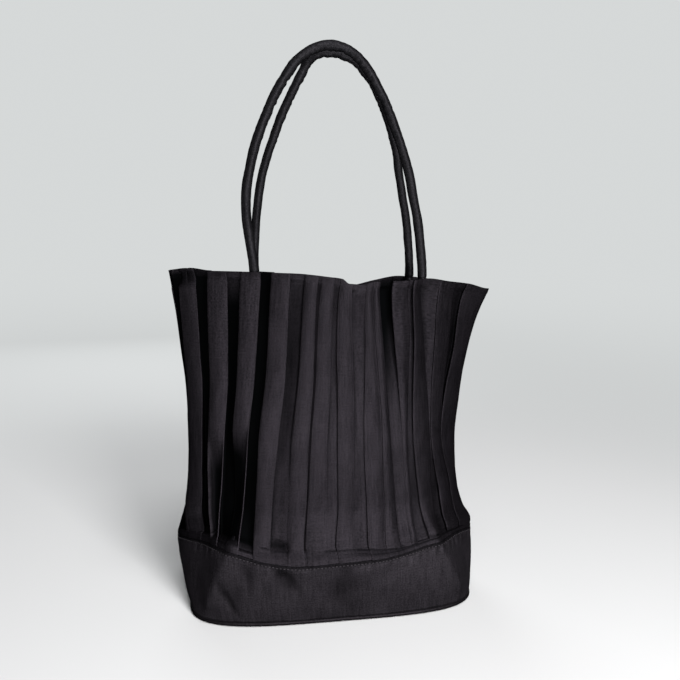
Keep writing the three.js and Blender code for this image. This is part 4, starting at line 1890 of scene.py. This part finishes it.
@dataclass(frozen=True)
class Lamp:
    """A soft light: its place and aim in metres, its width and height, its power in watts and its colour."""

    name: str
    place: Place
    aim: Place
    sides: Span
    power: float
    colour: Colour

    def hang(self) -> None:
        """Hangs the light, unseen by the camera itself."""
        light = bpy.data.lights.new(self.name, "AREA")
        light.shape = "RECTANGLE"
        light.size, light.size_y = self.sides
        light.energy = self.power
        light.color = self.colour
        hung = bpy.data.objects.new(self.name, light)
        hung.location = self.place
        hung.rotation_euler = (Vector(self.aim) - Vector(self.place)).to_track_quat("-Z", "Y").to_euler()
        hung.visible_camera = False
        bpy.context.scene.collection.objects.link(hung)


LAMPS = (
    Lamp("window_light", (0.72, -1.88, 1.10), (0.0, 0.0, 0.2), (0.7, 0.5), 52.0, (1.0, 0.97, 0.97)),
    Lamp("top_light", (0.2, -1.2, 2.4), (0.0, 0.0, 0.1), (1.2, 1.2), 66.0, (0.99, 0.98, 0.99)),
    Lamp("low_reflector", (0.06, -0.78, 0.09), (0.0, -0.06, 0.07), (0.8, 0.14), 9.6, (1.0, 0.97, 0.97)),
    Lamp("back_light", (-0.35, 1.5, 0.8), (0.0, 0.0, 0.2), (1.1, 1.1), 14.0, (0.98, 0.99, 1.0)),
)


@dataclass
class Studio:
    """The wide pale floor, the room's tone, soft lights, and the camera.

    The eye is the camera's place in metres, down is the direction of the ground in the camera's own view
    (right, down, forward), and ahead is the level direction in which it looks.
    """

    eye: Place = (-0.113, -0.671, 0.380)
    down: Place = (-0.019, 0.9875, 0.1562)
    ahead: Place = (0.1736, 0.9848, 0.0)
    lens: float = 36.0
    sensor: float = 36.0
    nearest: float = 0.01
    floor_radius: float = 40.0
    floor_height: float = -0.0003
    floor_sides: int = 128
    room_glow: float = 0.05

    def floor(self) -> None:
        """Lays the round floor."""
        turn = math.tau * np.arange(self.floor_sides) / self.floor_sides
        height = np.full(self.floor_sides, self.floor_height)
        rim = np.column_stack([self.floor_radius * np.cos(turn), self.floor_radius * np.sin(turn), height])
        mesh = bpy.data.meshes.new("studio_floor")
        mesh.from_pydata(rim.tolist(), [], [tuple(range(self.floor_sides))])
        mesh.materials.append(FLOOR_PLASTER.material())
        show("studio_floor", mesh)

    def room(self) -> None:
        """Sets the room: pale where the camera looks past the floor, and faint as a light."""
        world = bpy.data.worlds.new("studio_room")
        world.use_nodes = True
        nodes, links = world.node_tree.nodes, world.node_tree.links
        faint = nodes["Background"]
        faint.inputs["Strength"].default_value = self.room_glow
        seen = nodes.new("ShaderNodeBackground")
        for background in (faint, seen):
            background.inputs["Color"].default_value = (*ROOM_TONE, 1.0)
        rays = nodes.new("ShaderNodeLightPath")
        blend = nodes.new("ShaderNodeMixShader")
        links.new(rays.outputs["Is Camera Ray"], blend.inputs[0])
        links.new(faint.outputs[0], blend.inputs[1])
        links.new(seen.outputs[0], blend.inputs[2])
        links.new(blend.outputs[0], nodes["World Output"].inputs["Surface"])
        bpy.context.scene.world = world

    def camera(self) -> None:
        """Sets the camera, turned so that down and ahead lie where its view has them."""
        lens = bpy.data.cameras.new("camera")
        lens.lens = self.lens
        lens.sensor_width = self.sensor
        lens.sensor_fit = "HORIZONTAL"
        lens.clip_start = self.nearest
        up = Vector((0, 0, 1))
        down = Vector(self.down).normalized()
        forward = (up - down * down.z).normalized()
        right = down.cross(forward)
        ahead = Vector(self.ahead).normalized()
        beside = Vector((ahead.y, -ahead.x, 0.0))
        axes = [right[k] * beside + forward[k] * ahead - down[k] * up for k in range(3)]
        turn = Matrix((axes[0], -axes[1], -axes[2])).transposed().to_4x4()
        placed = bpy.data.objects.new("camera", lens)
        placed.matrix_world = Matrix.Translation(self.eye) @ turn
        bpy.context.scene.collection.objects.link(placed)
        bpy.context.scene.camera = placed
        bpy.context.scene.view_settings.view_transform = "Standard"

    def make(self) -> None:
        """Sets up the whole studio."""
        self.camera()
        self.floor()
        self.room()
        for lamp in LAMPS:
            lamp.hang()


def main() -> None:
    """Builds the bag piece by piece, then the studio."""
    logging.basicConfig(level=logging.INFO, format="%(name)s %(message)s")
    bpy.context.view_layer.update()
    PleatedBody().make()
    band = PlainBand()
    band.make()
    BasePad().make()
    handle_satin = HANDLE_SATIN.material()
    for handle in HANDLES:
        handle.make(handle_satin)
    stitches = StitchLine("bag_seam_stitches", seed=3)
    stitches.sew(StitchTree(), band.seam_path, SEAM_THREAD.material(), Slot.PLAIN)
    Studio().make()


if __name__ == "__main__":
    main()
